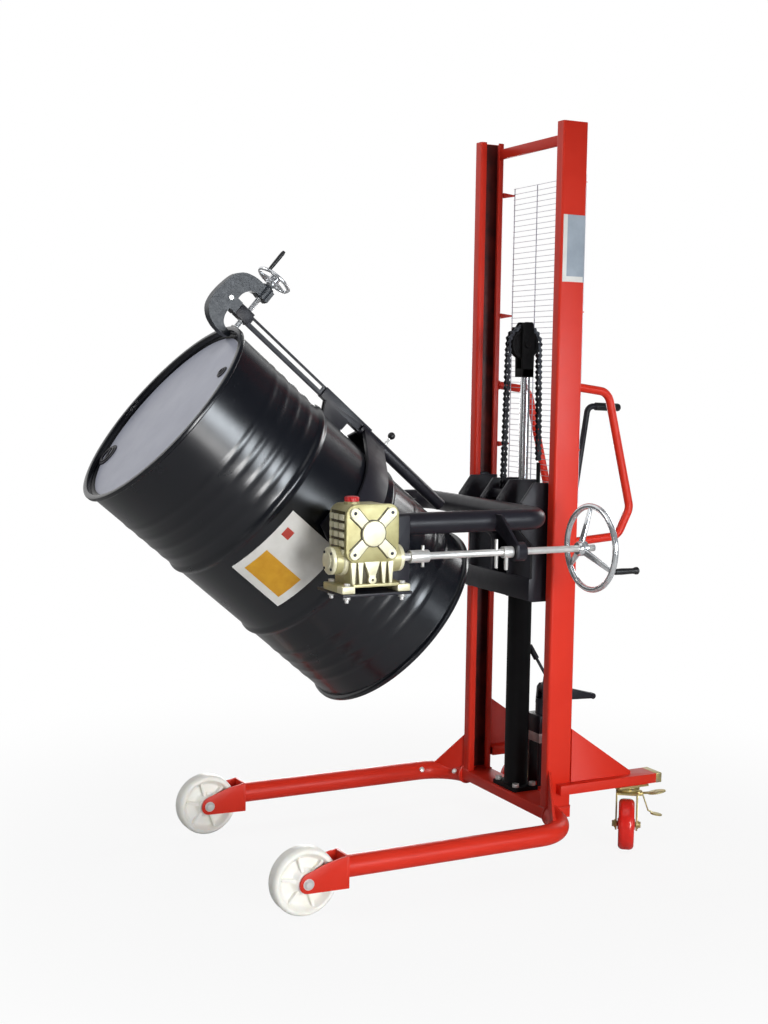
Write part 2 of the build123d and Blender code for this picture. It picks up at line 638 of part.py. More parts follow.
def handwheel_shaft():
    """Long drive shaft with the coupling sleeve, a stop collar and their cross pins."""
    shaft = rod((50, WORM_Y, WORM_Z), (COUPLING_X, WORM_Y, WORM_Z), DRIVE_RADIUS)
    shaft += rod((552, WORM_Y, WORM_Z), (COUPLING_X, WORM_Y, WORM_Z), 16)
    shaft += ring((COUPLING_X, WORM_Y, WORM_Z), (604, WORM_Y, WORM_Z), 16, 10)
    shaft += rod((566, WORM_Y, WORM_Z - 27), (566, WORM_Y, WORM_Z + 27), 4)
    shaft += rod((306, WORM_Y, WORM_Z), (334, WORM_Y, WORM_Z), 15)
    shaft += rod((322, WORM_Y, WORM_Z - 46), (322, WORM_Y, WORM_Z), 5)
    return shaft + rod((352, WORM_Y, WORM_Z - 40), (352, WORM_Y, WORM_Z + 34), 4.5)


def rim_point(angle, radius, x):
    """Point on a circle about the handwheel axis."""
    return (x, WORM_Y + radius * cos(radians(angle)), WORM_Z + radius * sin(radians(angle)))


def handwheel():
    """Dished handwheel with three spokes and the pin of its grip."""
    hub_low, hub_high = HANDWHEEL_HUB_X
    wheel = rod((hub_low, WORM_Y, WORM_Z), (hub_high, WORM_Y, WORM_Z), 20)
    for angle in (92, GRIP_ANGLE, 212):
        wheel += rod(rim_point(angle, 14, 88), rim_point(angle, HANDWHEEL_RADIUS - 2, HANDWHEEL_X + 0.5), 7)
    pin = rim_point(GRIP_ANGLE, HANDWHEEL_RADIUS, HANDWHEEL_X - 2)
    wheel += round_rim((HANDWHEEL_X, WORM_Y, WORM_Z), HANDWHEEL_RADIUS, HANDWHEEL_TUBE)
    wheel += rod(pin, rim_point(GRIP_ANGLE, HANDWHEEL_RADIUS, -24), 4)
    return wheel - rod((0, WORM_Y, WORM_Z), (200, WORM_Y, WORM_Z), DRIVE_RADIUS)


def handwheel_grip():
    """Turning sleeve on the handwheel pin."""
    near = rim_point(GRIP_ANGLE, HANDWHEEL_RADIUS, 51)
    end = rim_point(GRIP_ANGLE, HANDWHEEL_RADIUS, -14)
    far = rim_point(GRIP_ANGLE, HANDWHEEL_RADIUS, -22)
    return ring(near, far, 8, 4 + RUN_FIT) + ring(end, far, 10, 4 + RUN_FIT)


# Drum holder, built upright about the tilt axis


def trunnion_shaft():
    """Gearbox output shaft on the left and the plain stub on the right."""
    near = rod((0, TRUNNION_Y[0], 0), (0, 493, 0), SHAFT_RADIUS)
    far = rod((0, -TRUNNION_Y[0], 0), (0, -362, 0), SHAFT_RADIUS)
    return group([in_holder(near), in_holder(far)])


def worm_wheel():
    """Worm wheel keyed to the output shaft."""
    return in_holder(ring((0, 430, 0), (0, 460, 0), WHEEL_GEAR_RADIUS, SHAFT_RADIUS))


def nosed_outline(inset):
    """Flanks of the hoop's plan, drawn out to a nose at the post and moved in by the inset."""
    radius = HOOP_OUTER - inset
    tip = NOSE_RADIUS - inset
    slope = acos((radius - tip) / (DRUM_X - POST_X))
    big = (DRUM_X - radius * cos(slope), radius * sin(slope))
    small = (POST_X - tip * cos(slope), tip * sin(slope))
    return [(DRUM_X, 0), big, small, (small[0], -small[1]), (big[0], -big[1])]


def hoop_band():
    """Half hoop behind the drum, drawn out to the post and ending in two trunnion plates."""
    low, high = HOOP_Z
    band = rod((DRUM_X, 0, low), (DRUM_X, 0, high), HOOP_OUTER) + slab_xy(nosed_outline(0), HOOP_Z)
    wide = (low - 1, high + 1)
    band -= rod((DRUM_X, 0, wide[0]), (DRUM_X, 0, wide[1]), HOOP_INNER)
    band -= slab_xy(nosed_outline(HOOP_OUTER - HOOP_INNER), wide)
    band -= block((DRUM_X + 20, 400), (-400, 400), (-200, 200))
    plate = [(-48, -86), (DRUM_X + 20, -86), (DRUM_X + 20, 0), (30, 40), (-22, 40), (-48, 0)]
    for side in (1, -1):
        ys = sided(TRUNNION_Y, side)
        band += slab_xz(plate, ys)
        band -= rod((0, side * 280, 0), (0, side * 310, 0), SHAFT_RADIUS)
    return in_holder(band - rod((POST_X, 0, -200), (POST_X, 0, 200), POST_RADIUS))


def post_sleeve():
    """Round post along the drum with two cheeks that guide the bar and a rest against the drum."""
    post = rod((POST_X, 0, POST_Z[0]), (POST_X, 0, POST_Z[1]), POST_RADIUS)
    inner = BAR_HALF + RUN_FIT
    for side in (1, -1):
        post += block(BAR_X, sided((inner, 11), side), CHEEK_Z)
        post += slab_xz([(BAR_X[1], 40), (BAR_X[1], 130), (-240, 100), (-240, 44)], sided((inner, 11), side))
    post += block((-284, -262), (-inner, inner), (50, 90))
    post -= rod((DRUM_X, 0, 0), (DRUM_X, 0, 200), DRUM_RADIUS + 1.5)
    post -= rod((POST_X, 0, POST_Z[0] - 1), (POST_X, 0, 5), POST_BORE)
    return in_holder(post - rod((POST_X - 40, 0, LOCK_Z), (POST_X, 0, LOCK_Z), 5 + RUN_FIT))


def slotted_bar():
    """Flat height-setting bar with a long slot, a tongue inside the post and the nut of the clamp screw."""
    bar = block(BAR_X, (-BAR_HALF, BAR_HALF), BAR_Z)
    bar += block(TONGUE_X, (-BAR_HALF, BAR_HALF), (TONGUE_Z, BAR_Z[0]))
    bar -= block(SLOT_X, (-30, 30), SLOT_Z)
    bar += block((BAR_X[0] - 4, BAR_X[1]), (-13, 13), (434, 478))
    bore = rod((DRUM_X - 400, 0, SCREW_Z), (DRUM_X - 280, 0, SCREW_Z), SCREW_RADIUS + 0.5)
    return in_holder(bar - bore)


def clamp_frame():
    """Cast hook over the drum rim with a screw boss on its outer arm, bolted to the top of the bar."""
    outer = [(262, 452), (258, 486), (262, 510), (272, 533), (288, 549), (308, 556), (362, 555), (388, 549),
             (406, 540), (420, 528), (430, 512), (434, 494), (434, 430)]
    inner = [(402, 430), (401, 464), (398, 479), (390, 491), (376, 498), (357, 498), (357, 480), (322, 480),
             (322, 499), (308, 500), (294, 497), (284, 489), (277, 476), (275, 452)]
    frame = slab_xz([(DRUM_X - r, z) for r, z in outer + inner], (-17, 17))
    frame += rod((DRUM_X - 402, 0, SCREW_Z), (DRUM_X - 440, 0, SCREW_Z), 20)
    frame += rod((DRUM_X - 345, 12, 514), (DRUM_X - 345, 22, 514), 10)
    frame -= block(BAR_X, (-BAR_HALF, BAR_HALF), (470, BAR_Z[1]))
    bore = rod((DRUM_X - 460, 0, SCREW_Z), (DRUM_X - 390, 0, SCREW_Z), SCREW_RADIUS + RUN_FIT)
    return in_holder(frame - bore)


def clamp_pad():
    """Pressure pad on the screw tip, just off the drum rim."""
    return in_holder(rod((DRUM_X - 299.5, 0, SCREW_Z), (DRUM_X - 293.2, 0, SCREW_Z), 12))


def clamp_screw():
    """Clamp spindle with its small handwheel."""
    screw = rod((DRUM_X - 299.5, 0, SCREW_Z), (DRUM_X - 478, 0, SCREW_Z), SCREW_RADIUS)
    screw += rod((DRUM_X - 446, 0, SCREW_Z), (DRUM_X - 478, 0, SCREW_Z), 15)
    for turn in (15, 135, 255):
        along = (cos(radians(turn)), sin(radians(turn)))
        start = (DRUM_X - 464, 10 * along[0], SCREW_Z + 10 * along[1])
        end = (DRUM_X - 466, (CLAMP_WHEEL - 2) * along[0], SCREW_Z + (CLAMP_WHEEL - 2) * along[1])
        screw += rod(start, end, 4)
    return in_holder(screw + round_rim((DRUM_X - 466, 0, SCREW_Z), CLAMP_WHEEL, 5))


def clamp_handle():
    """Handle standing off the small handwheel's rim."""
    y = CLAMP_WHEEL * cos(radians(50))
    z = SCREW_Z + CLAMP_WHEEL * sin(radians(50))
    peg = rod((DRUM_X - 468, y, z), (DRUM_X - 534, y, z), 5.5)
    return in_holder(peg - round_rim((DRUM_X - 466, 0, SCREW_Z), CLAMP_WHEEL, 5))


def lock_pin():
    """Ball-headed pin that holds the slotted bar."""
    pin = rod((DRUM_X - 382, 0, LOCK_Z), (TONGUE_X[0] - 0.5, 0, LOCK_Z), 5)
    return in_holder(pin + Pos(DRUM_X - 382, 0, LOCK_Z) * Sphere(10.5))


def drum_profile(inset):
    """Half outline of the drum wall from bottom to top, moved inward by the inset."""
    half = DRUM_HEIGHT / 2
    points = [(DRUM_RADIUS - inset, -half + 14)]
    for centre in DRUM_HOOPS:
        for offset, rise in ((-16, 0), (-5, HOOP_RISE), (5, HOOP_RISE), (16, 0)):
            points.append((DRUM_RADIUS + rise - inset, centre + offset))
    for centre in DRUM_BEADS:
        for offset, rise in ((-9, 0), (-3, BEAD_RISE), (3, BEAD_RISE), (9, 0)):
            points.append((DRUM_RADIUS + rise - inset, centre + offset))
    points.append((DRUM_RADIUS - inset, half - 14))
    return points


def drum_shell():
    """Drum wall with rolling hoops, beads, both chimes and the bottom."""
    half = DRUM_HEIGHT / 2
    chime = DRUM_CHIME_RADIUS
    lower = [(chime, -half + 12), (chime, -half), (DRUM_RADIUS - 5, -half)]
    upper = [(chime, half - 12), (chime, half), (DRUM_RADIUS - 5, half)]
    inside = drum_profile(DRUM_SHEET)
    outline = lower[::-1] + drum_profile(0) + upper + [(DRUM_RADIUS - 5, half - 14)] + inside[::-1]
    outline += [(DRUM_RADIUS - 5, -half + 14)]
    wall = make_face(Polyline(*[(DRUM_X + r, 0, DRUM_Z + z) for r, z in outline], close=True))
    shell = revolve(wall, axis=Axis((DRUM_X, 0, 0), (0, 0, 1)), revolution_arc=360)
    low = DRUM_Z - half + 14
    return in_holder(shell + rod((DRUM_X, 0, low), (DRUM_X, 0, low + 2), DRUM_RADIUS - DRUM_SHEET))


def bung_spots():
    """Large and small bung places on the lid as x, y and radius."""
    return [(DRUM_X + 149, -190, 34), (DRUM_X - 147, 159, 17)]


def drum_lid():
    """Flat drum top set down inside the upper chime."""
    top = DRUM_Z + DRUM_HEIGHT / 2 - LID_DEPTH
    lid = rod((DRUM_X, 0, top - 2), (DRUM_X, 0, top), DRUM_RADIUS - DRUM_SHEET)
    for x, y, radius in bung_spots():
        lid -= rod((x, y, top - 5), (x, y, top + 5), radius)
    return in_holder(lid)


def drum_bungs():
    """Screw plugs in the drum top."""
    top = DRUM_Z + DRUM_HEIGHT / 2 - LID_DEPTH
    plugs = []
    for x, y, radius in bung_spots():
        plugs.append(in_holder(rod((x, y, top - 2), (x, y, top + 6), radius)))
    return group(plugs)


# Hand pump


def pump_body():
    """Pump block with its barrel and the forks of the lever and the pedal."""
    body = block((-130, -60), (-38, 38), (297, 350)) + rod((PUMP_X, 0, 350), (PUMP_X, 0, 395), 22)
    body += block((-122, -66), (-30, 30), (266, 297))
    for ys in ((-30, -22), (22, 30)):
        body += block((-122, -66), ys, (BASE_TOP, 266))
    for side in (1, -1):
        ears = sided((13, 19), side)
        body += slab_xz([(-116, 380), (-80, 380), (-84, 430), (-92, 440), (-108, 440), (-116, 430)], ears)
        body += slab_xz([(-150, 366), (-100, 350), (-100, 394), (-150, 394)], ears)
    body += rod((LEVER_PIVOT[0], -22, LEVER_PIVOT[1]), (LEVER_PIVOT[0], 22, LEVER_PIVOT[1]), 6)
    return body + rod((PEDAL_PIVOT[0], -22, PEDAL_PIVOT[1]), (PEDAL_PIVOT[0], 22, PEDAL_PIVOT[1]), 5)


def return_pipe():
    """Thin hydraulic pipe from the cylinder port to the pump block."""
    points = [(-52, 0, 545), (-74, 0, 545), (-80, 28, 430), (-80, 28, 350)]
    return bent_rod(points, 9, 5)


def pump_lever():
    """Long pump lever with a bent grip."""
    x, z = LEVER_PIVOT
    eye = rod((x, -12, z), (x, 12, z), 15)
    points = [(x, 0, z), (-228, 0, 1272), (-342, 0, 1268)]
    lever = bent_rod(points, 22, 9)
    lever += rod((-254, 0, 1271.1), (-342, 0, 1268), 12)
    return lever + eye - rod((x, -20, z), (x, 20, z), 6 + RUN_FIT)


def foot_pedal():
    """Pedal that tapers from its pivot to a small rounded end."""
    x, z = PEDAL_PIVOT
    arm = rod((x, -12, z), (x, 12, z), 11)
    side = [(x, 370), (x - 8, 391), (-170, 412), (-206, 413), (-263, 396), (-270, 396), (-270, 380)]
    arm += slab_xz(side, (-12, 12))
    arm += rod((-272, -12, 388), (-272, 12, 388), 9)
    return arm - rod((x, -20, z), (x, 20, z), 5 + RUN_FIT)


NODES = {
    "base_frame": base_frame,
    "rear_outriggers": lambda: group([outrigger(1), outrigger(-1)]),
    "left_leg": lambda: leg(1),
    "right_leg": lambda: leg(-1),
    "left_mast_channel": lambda: mast_channel(1),
    "right_mast_channel": lambda: mast_channel(-1),
    "mast_top_bar": mast_top_bar,
    "rear_handles": lambda: group([push_handle(1), push_handle(-1)]),
    "mesh_guard": mesh_guard,
    "lift_cylinder": lift_cylinder,
    "cylinder_gland": cylinder_gland,
    "pump_body": pump_body,
    "return_pipe": return_pipe,
    "front_axles": lambda: group([front_axle(1), front_axle(-1)]),
    "castor_plates": lambda: group([castor_plate(1), castor_plate(-1)]),
    "frame_bolts": frame_bolts,
    "left_front_wheel": lambda: front_wheel(1),
    "right_front_wheel": lambda: front_wheel(-1),
    "left_castor_yoke": lambda: castor_yoke(1),
    "right_castor_yoke": lambda: castor_yoke(-1),
    "left_castor_wheel": lambda: castor_wheel(1),
    "right_castor_wheel": lambda: castor_wheel(-1),
    "left_brake_pedal": lambda: brake_pedal(1),
    "right_brake_pedal": lambda: brake_pedal(-1),
    "ram_rod": ram_rod,
    "pulley_block": pulley_block,
    "chain_pulley": chain_pulley,
    "chain_wrap": chain_wrap,
    "chain_front": chain_front,
    "chain_rear": chain_rear,
    "carriage_frame": carriage_frame,
    "roller_axles": roller_axles,
    "upper_rollers": lambda: roller_pair(ROLLER_Z[1]),
    "lower_rollers": lambda: roller_pair(ROLLER_Z[0]),
    "yoke_tube": yoke_tube,
    "far_pivot_bearing": far_pivot_bearing,
    "gearbox_bracket": gearbox_bracket,
    "gearbox_housing": gearbox_housing,
    "gearbox_cover": gearbox_cover,
    "gearbox_bolts": gearbox_bolts,
    "shaft_bearing": shaft_bearing,
    "worm_shaft": worm_shaft,
    "handwheel_shaft": handwheel_shaft,
    "handwheel": handwheel,
    "handwheel_grip": handwheel_grip,
    "trunnion_shaft": trunnion_shaft,
    "worm_wheel": worm_wheel,
    "hoop_band": hoop_band,
    "post_sleeve": post_sleeve,
    "slotted_bar": slotted_bar,
    "clamp_frame": clamp_frame,
    "clamp_pad": clamp_pad,
    "clamp_screw": clamp_screw,
    "clamp_handle": clamp_handle,
    "lock_pin": lock_pin,
    "drum_shell": drum_shell,
    "drum_lid": drum_lid,
    "drum_bungs": drum_bungs,
    "pump_lever": pump_lever,
    "foot_pedal": foot_pedal,
}

os.makedirs("parts", exist_ok=True)
for name, make in NODES.items():
    export_step(make(), f"parts/{name}.step")
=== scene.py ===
import json
import logging
from dataclasses import dataclass, field
from enum import Enum
from math import atan2, cos, pi, radians, sin, tan
from typing import Iterable, Sequence

import bmesh
import bpy
from bmesh.types import BMEdge, BMesh, BMVert
from bpy.types import Material, Node, NodeSocket, NodeTree, Object
from mathutils import Matrix, Vector


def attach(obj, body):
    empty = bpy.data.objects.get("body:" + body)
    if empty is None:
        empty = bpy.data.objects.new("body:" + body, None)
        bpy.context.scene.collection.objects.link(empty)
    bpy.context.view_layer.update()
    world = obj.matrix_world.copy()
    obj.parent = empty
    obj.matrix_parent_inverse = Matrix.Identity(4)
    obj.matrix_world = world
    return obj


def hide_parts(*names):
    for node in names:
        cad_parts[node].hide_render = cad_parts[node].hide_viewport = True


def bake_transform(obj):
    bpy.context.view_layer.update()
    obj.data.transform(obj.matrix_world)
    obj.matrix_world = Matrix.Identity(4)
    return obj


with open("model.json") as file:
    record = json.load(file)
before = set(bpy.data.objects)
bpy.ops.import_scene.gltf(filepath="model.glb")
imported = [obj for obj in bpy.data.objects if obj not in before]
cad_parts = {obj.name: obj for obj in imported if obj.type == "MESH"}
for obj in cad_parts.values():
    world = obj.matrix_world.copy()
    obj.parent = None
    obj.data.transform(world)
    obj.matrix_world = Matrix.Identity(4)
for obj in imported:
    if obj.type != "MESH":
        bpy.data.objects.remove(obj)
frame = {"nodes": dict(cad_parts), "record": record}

log = logging.getLogger("drum_stacker")

MM = 0.001
Pair = tuple[float, float]
Triple = tuple[float, float, float]
Rgba = tuple[float, float, float, float]
Point = Triple | Vector
WHITE: Rgba = (1.0, 1.0, 1.0, 1.0)
# Ways along the machine: ahead to the drum, back to the handles, across to its left, and up.
AHEAD, BACK, ACROSS, UP = (1, 0, 0), (-1, 0, 0), (0, 1, 0), (0, 0, 1)
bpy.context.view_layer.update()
# The drum holder is drawn upright about the tilt axis and stands at its resting tilt, in degrees.
TILT_AXIS: Triple = (730.0, 0.0, 975.0)
REST_TILT = 49.57
HOLDER = Matrix.Translation(TILT_AXIS) @ Matrix.Rotation(radians(REST_TILT), 4, "Y")


class Side(Enum):
    """The machine's left is the near side, where the gearbox and handwheel are."""

    LEFT = 1
    RIGHT = -1

    @property
    def word(self) -> str:
        """The side as it is written in the names of nodes and bodies."""
        return self.name.lower()


# Finishes


# Sockets of a Mix node that carry colours; its other sockets carry numbers and vectors.
MIX_A, MIX_B, MIX_OUT = 6, 7, 2


def linear(colour: str) -> Rgba:
    """Turn an sRGB hex colour into linear light.

    Args:
        colour: Six hex digits after a hash sign.

    Returns:
        Red, green, blue and an alpha of one.
    """
    parts = [int(colour[i:i + 2], 16) / 255 for i in (1, 3, 5)]
    light = [c / 12.92 if c <= 0.04045 else ((c + 0.055) / 1.055) ** 2.4 for c in parts]
    return (light[0], light[1], light[2], 1.0)


def per_metre(size: float) -> float:
    """Texture scale of a pattern whose repeat is given in millimetres."""
    return 1000.0 / size


def add(tree: NodeTree, kind: str, inputs: dict | None = None, **settings: object) -> Node:
    """Add one shader node.

    Args:
        tree: Node tree that gets the node.
        kind: Blender's class name of the node.
        inputs: Input name or index, with the socket to link or the value to set.
        settings: Properties of the node itself.

    Returns:
        The new node.
    """
    made = tree.nodes.new(kind)
    for name, value in settings.items():
        setattr(made, name, value)
    for name, value in (inputs or {}).items():
        if isinstance(value, NodeSocket):
            tree.links.new(value, made.inputs[name])
        else:
            made.inputs[name].default_value = value
    return made


def emptied(owner: Material | bpy.types.World) -> NodeTree:
    """Turn on the nodes of a new material or world and clear them away.

    Args:
        owner: The material or world.

    Returns:
        Its empty node tree.
    """
    owner.use_nodes = True
    owner.node_tree.nodes.clear()
    return owner.node_tree


@dataclass(frozen=True)
class Finish:
    """A surface: its two close colours, how rough it is and the grain that its making leaves.

    Patterns are measured in millimetres. The roughness wanders at a share of the mottling's size. Depth is
    the share of light that enters the surface, and light_reach is how far each colour goes, in metres.
    """

    name: str
    colour: str
    shade: str
    rough: Pair
    grain_mm: float
    relief_mm: float
    mottle_mm: float = 120.0
    smear_share: float = 0.35
    metallic: float = 0.0
    specular: float = 0.5
    depth: float = 0.0
    light_reach: Triple = (0.006, 0.005, 0.004)

    def material(self) -> Material:
        """Make the Blender material of this finish, or find it where it is made already.

        Returns:
            The material.
        """
        found = bpy.data.materials.get(self.name)
        if found:
            return found
        made = bpy.data.materials.new(self.name)
        tree = emptied(made)
        place = add(tree, "ShaderNodeTexCoord").outputs["Object"]
        shader = add(tree, "ShaderNodeBsdfPrincipled", {
            "Base Color": self.tint(tree, place),
            "Roughness": self.polish(tree, place),
            "Normal": self.relief(tree, place),
            "Metallic": self.metallic,
            "Specular IOR Level": self.specular,
            "Subsurface Weight": self.depth,
            "Subsurface Radius": self.light_reach,
        })
        add(tree, "ShaderNodeOutputMaterial", {"Surface": shader.outputs["BSDF"]})
        return made

    def tint(self, tree: NodeTree, place: NodeSocket) -> NodeSocket:
        """Slow mottling between the two colours.

        Args:
            tree: Node tree of the material.
            place: Object coordinates.

        Returns:
            The colour socket.
        """
        cloud = add(tree, "ShaderNodeTexNoise", {
            "Vector": place, "Scale": per_metre(self.mottle_mm), "Detail": 3.0, "Roughness": 0.6})
        spread = add(tree, "ShaderNodeMapRange", {
            "Value": cloud.outputs["Fac"], "From Min": 0.35, "From Max": 0.65})
        blend = add(tree, "ShaderNodeMix", {
            0: spread.outputs["Result"], MIX_A: linear(self.colour), MIX_B: linear(self.shade)},
            data_type="RGBA")
        return blend.outputs[MIX_OUT]

    def polish(self, tree: NodeTree, place: NodeSocket) -> NodeSocket:
        """Roughness that wanders between its two values.

        Args:
            tree: Node tree of the material.
            place: Object coordinates.

        Returns:
            The roughness socket.
        """
        smear = add(tree, "ShaderNodeTexNoise", {
            "Vector": place, "Scale": per_metre(self.mottle_mm * self.smear_share), "Detail": 4.0,
            "Roughness": 0.65})
        spread = add(tree, "ShaderNodeMapRange", {
            "Value": smear.outputs["Fac"], "From Min": 0.3, "From Max": 0.7,
            "To Min": self.rough[0], "To Max": self.rough[1]})
        return spread.outputs["Result"]

    def relief(self, tree: NodeTree, place: NodeSocket) -> NodeSocket:
        """Grain of the surface.

        Args:
            tree: Node tree of the material.
            place: Object coordinates.

        Returns:
            The normal socket.
        """
        grain = add(tree, "ShaderNodeTexNoise", {
            "Vector": place, "Scale": per_metre(self.grain_mm), "Detail": 2.0, "Roughness": 0.5})
        bump = add(tree, "ShaderNodeBump", {
            "Height": grain.outputs["Fac"], "Strength": 1.0, "Distance": self.relief_mm * MM})
        return bump.outputs["Normal"]


@dataclass(frozen=True)
class Plating(Finish):
    """Passivated plating, whose film shifts between three hues as it dries in streaks."""

    third: str = "#c0a79c"
    bands: Triple = (0.34, 0.62, 0.74)

    def tint(self, tree: NodeTree, place: NodeSocket) -> NodeSocket:
        """Hues of the film.

        Args:
            tree: Node tree of the material.
            place: Object coordinates.

        Returns:
            The colour socket.
        """
        film = add(tree, "ShaderNodeTexNoise", {
            "Vector": place, "Scale": per_metre(self.mottle_mm), "Detail": 4.0, "Distortion": 1.2})
        ramp = add(tree, "ShaderNodeValToRGB", {"Fac": film.outputs["Fac"]})
        stops = ramp.color_ramp.elements
        stops[0].position = self.bands[0]
        stops[0].color = linear(self.colour)
        stops[1].position = self.bands[1]
        stops[1].color = linear(self.shade)
        stops.new(self.bands[2]).color = linear(self.third)
        return ramp.outputs["Color"]


# Powder coat cures with a slight orange peel. Its real 2 mm ripple is under a pixel, so it is drawn at 9 mm.
RED_COAT = Finish("red_powder_coat", "#d8321f", "#d02c1a", (0.34, 0.44), mottle_mm=220, grain_mm=9,
                  relief_mm=0.015, specular=0.3)
# The same coat over a weld bead, where the ripples of the pass stay visible.
RED_WELD = Finish("red_coat_on_weld", "#cf2e1c", "#bd2716", (0.26, 0.4), mottle_mm=20, grain_mm=5,
                  relief_mm=0.9)
# Satin black coat on the arms and carriage, a cool black that shows broad grey reflections and a fine ripple.
BLACK_COAT = Finish("black_powder_coat", "#201f26", "#1a1920", (0.36, 0.48), grain_mm=9, relief_mm=0.03,
                    specular=0.32)
# Flat black brushed on the cylinder, the rod head and the pulley, which hardly mirrors anything.
FLAT_BLACK = Finish("flat_black_enamel", "#161617", "#121213", (0.6, 0.7), mottle_mm=90, grain_mm=9,
                    relief_mm=0.03, specular=0.12)
# Stoved drum enamel: deep black, glossy, with the slow waves of rolled sheet under it.
DRUM_ENAMEL = Finish("stoved_black_enamel", "#0b0d13", "#0f1117", (0.22, 0.28), mottle_mm=260,
                     grain_mm=70, relief_mm=0.15, specular=0.6)
# Grey enamel of the drum top, lightened past its own grey as painted reflection of the bright room; even and
# satin with faint handling smears.
LID_ENAMEL_AND_REFLECTION = Finish("grey_lid_enamel", "#b2b5c3", "#a8abba", (0.3, 0.42), mottle_mm=160, grain_mm=40,
                    relief_mm=0.08)
# Sand casting under thick gold enamel: a soft lumpy skin that is still fairly bright.
GOLD_CASE = Finish("gold_enamel_on_casting", "#c1ba90", "#afa77a", (0.34, 0.48), mottle_mm=60, grain_mm=5,
                   relief_mm=0.12, metallic=0.3)
# The recessed panels get a darker, duller copy of the gold enamel: painted shade where the recesses fall
# dark.
GOLD_PAINTED_SHADE = Finish("gold_enamel_in_recess", "#b1aa7a", "#a19968", (0.36, 0.5), mottle_mm=40, grain_mm=4,
                    relief_mm=0.14, metallic=0.3)
# Near-black gold laid into the casting's grooves and gaps as painted shade.
GOLD_PAINTED_SHADOW = Finish("dark_groove_of_casting", "#4a4220", "#3a3319", (0.45, 0.6), mottle_mm=20, grain_mm=4,
                   relief_mm=0.12)
# Ribs, fins and bosses get a paler copy of the gold enamel: painted light where they stand proud and face the
# lamps.
GOLD_PAINTED_LIGHT = Finish("gold_enamel_on_rib", "#e8e3c6", "#dad4b2", (0.34, 0.46), mottle_mm=40, grain_mm=5,
                     relief_mm=0.1, metallic=0.2)
# Bright drawn steel, pale and satin, with a faint cloudiness left by the oil.
TURNED_STEEL = Finish("bright_drawn_steel", "#e4e3e0", "#d6d5d2", (0.34, 0.44), mottle_mm=50, grain_mm=12,
                      relief_mm=0.004, metallic=0.6)
# Polished chrome plate: near mirror, with thin handling haze.
CHROME = Finish("polished_chrome", "#e6e8ea", "#dcdee1", (0.08, 0.18), mottle_mm=60, grain_mm=30,
                relief_mm=0.02, metallic=0.75)
# Drawn wire dipped in zinc, which greys to a dull spangle.
ZINC_WIRE = Finish("dull_zinc_wire", "#c9c7d4", "#b8b6c4", (0.4, 0.55), mottle_mm=14, grain_mm=6,
                   relief_mm=0.03, metallic=0.3)
# Zinc plate passivated yellow: gold that turns green and pink in patches.
YELLOW_ZINC = Plating("yellow_passivated_zinc", "#cdb878", "#b9b083", (0.28, 0.42), mottle_mm=26, grain_mm=9,
                      relief_mm=0.03, metallic=0.7)
# Cast nylon: creamy, lets a little light in, with a faint mould grain.
NYLON = Finish("cast_nylon", "#fbfaf4", "#f5f3ea", (0.36, 0.5), mottle_mm=45, grain_mm=4, relief_mm=0.05,
               depth=0.25)
# Poured polyurethane tyre: glossy, saturated red with a soft waviness.
POLYURETHANE = Finish("poured_polyurethane", "#e02a20", "#d3221a", (0.18, 0.26), mottle_mm=40, grain_mm=14,
                      relief_mm=0.06)
# Dark red-brown strips inside the channels, painted shade where the channels' hollows fall dark, darker in
# patches.
CHANNEL_PAINTED_SHADE = Finish("greased_track", "#5c1d18", "#3a1211", (0.4, 0.55), mottle_mm=60, grain_mm=12,
                      relief_mm=0.1)
# Chain and roller steel, black with oil that gathers in patches.
OILED_STEEL = Finish("oiled_chain_steel", "#3a3b3f", "#26272a", (0.3, 0.5), mottle_mm=18, grain_mm=5,
                     relief_mm=0.03, metallic=0.85)
# Moulded hand grips with a fine spark texture, drawn at 3 mm to show at all.
GRIP_PLASTIC = Finish("moulded_black_grip", "#151516", "#1d1d1f", (0.34, 0.48), mottle_mm=40, grain_mm=3,
                      relief_mm=0.05)
# Worm wheel bronze, machined and oiled, a dull brownish gold.
BRONZE = Finish("gear_bronze", "#b08a4a", "#987338", (0.28, 0.4), mottle_mm=30, grain_mm=6, relief_mm=0.02,
                metallic=1.0)
# Dark grey paint straight on a sand casting, so the sand still shows.
GREY_CASTING = Finish("grey_painted_casting", "#292e35", "#23282e", (0.36, 0.5), mottle_mm=30, grain_mm=6,
                      relief_mm=0.06)
# Bare cast aluminium, pale with a dull warm bloom.
PALE_CASTING = Finish("bare_cast_aluminium", "#c4b4b0", "#b2a29f", (0.4, 0.55), mottle_mm=24, grain_mm=4,
                      relief_mm=0.08, metallic=0.4)
# Moulded plastic of the filler cap, signal red and satin.
RED_CAP = Finish("red_filler_cap", "#c81e20", "#b3181b", (0.3, 0.42), mottle_mm=30, grain_mm=6,
                 relief_mm=0.04)
# Brushed aluminium plate with a lacquer over it, cool grey.
PLATE_ALUMINIUM = Finish("brushed_plate_aluminium", "#a6b0ba", "#98a2ad", (0.45, 0.6), mottle_mm=45,
                         grain_mm=3, relief_mm=0.015, metallic=0.15, specular=0.25)
# White coated paper, faintly soiled.
LABEL_PAPER = Finish("white_coated_paper", "#e9e8e4", "#dcdad4", (0.45, 0.6), mottle_mm=70, grain_mm=9,
                     relief_mm=0.03)
# Printing ink on that paper, a warm yellow, flat and even.
LABEL_YELLOW = Finish("yellow_printing_ink", "#dfa62a", "#d2961f", (0.4, 0.55), mottle_mm=40, grain_mm=9,
                      relief_mm=0.02)
# Printing ink on that paper, a brick red as flat as the yellow.
LABEL_RED = Finish("red_printing_ink", "#c8402f", "#b93628", (0.4, 0.55), mottle_mm=40, grain_mm=9,
                   relief_mm=0.02)

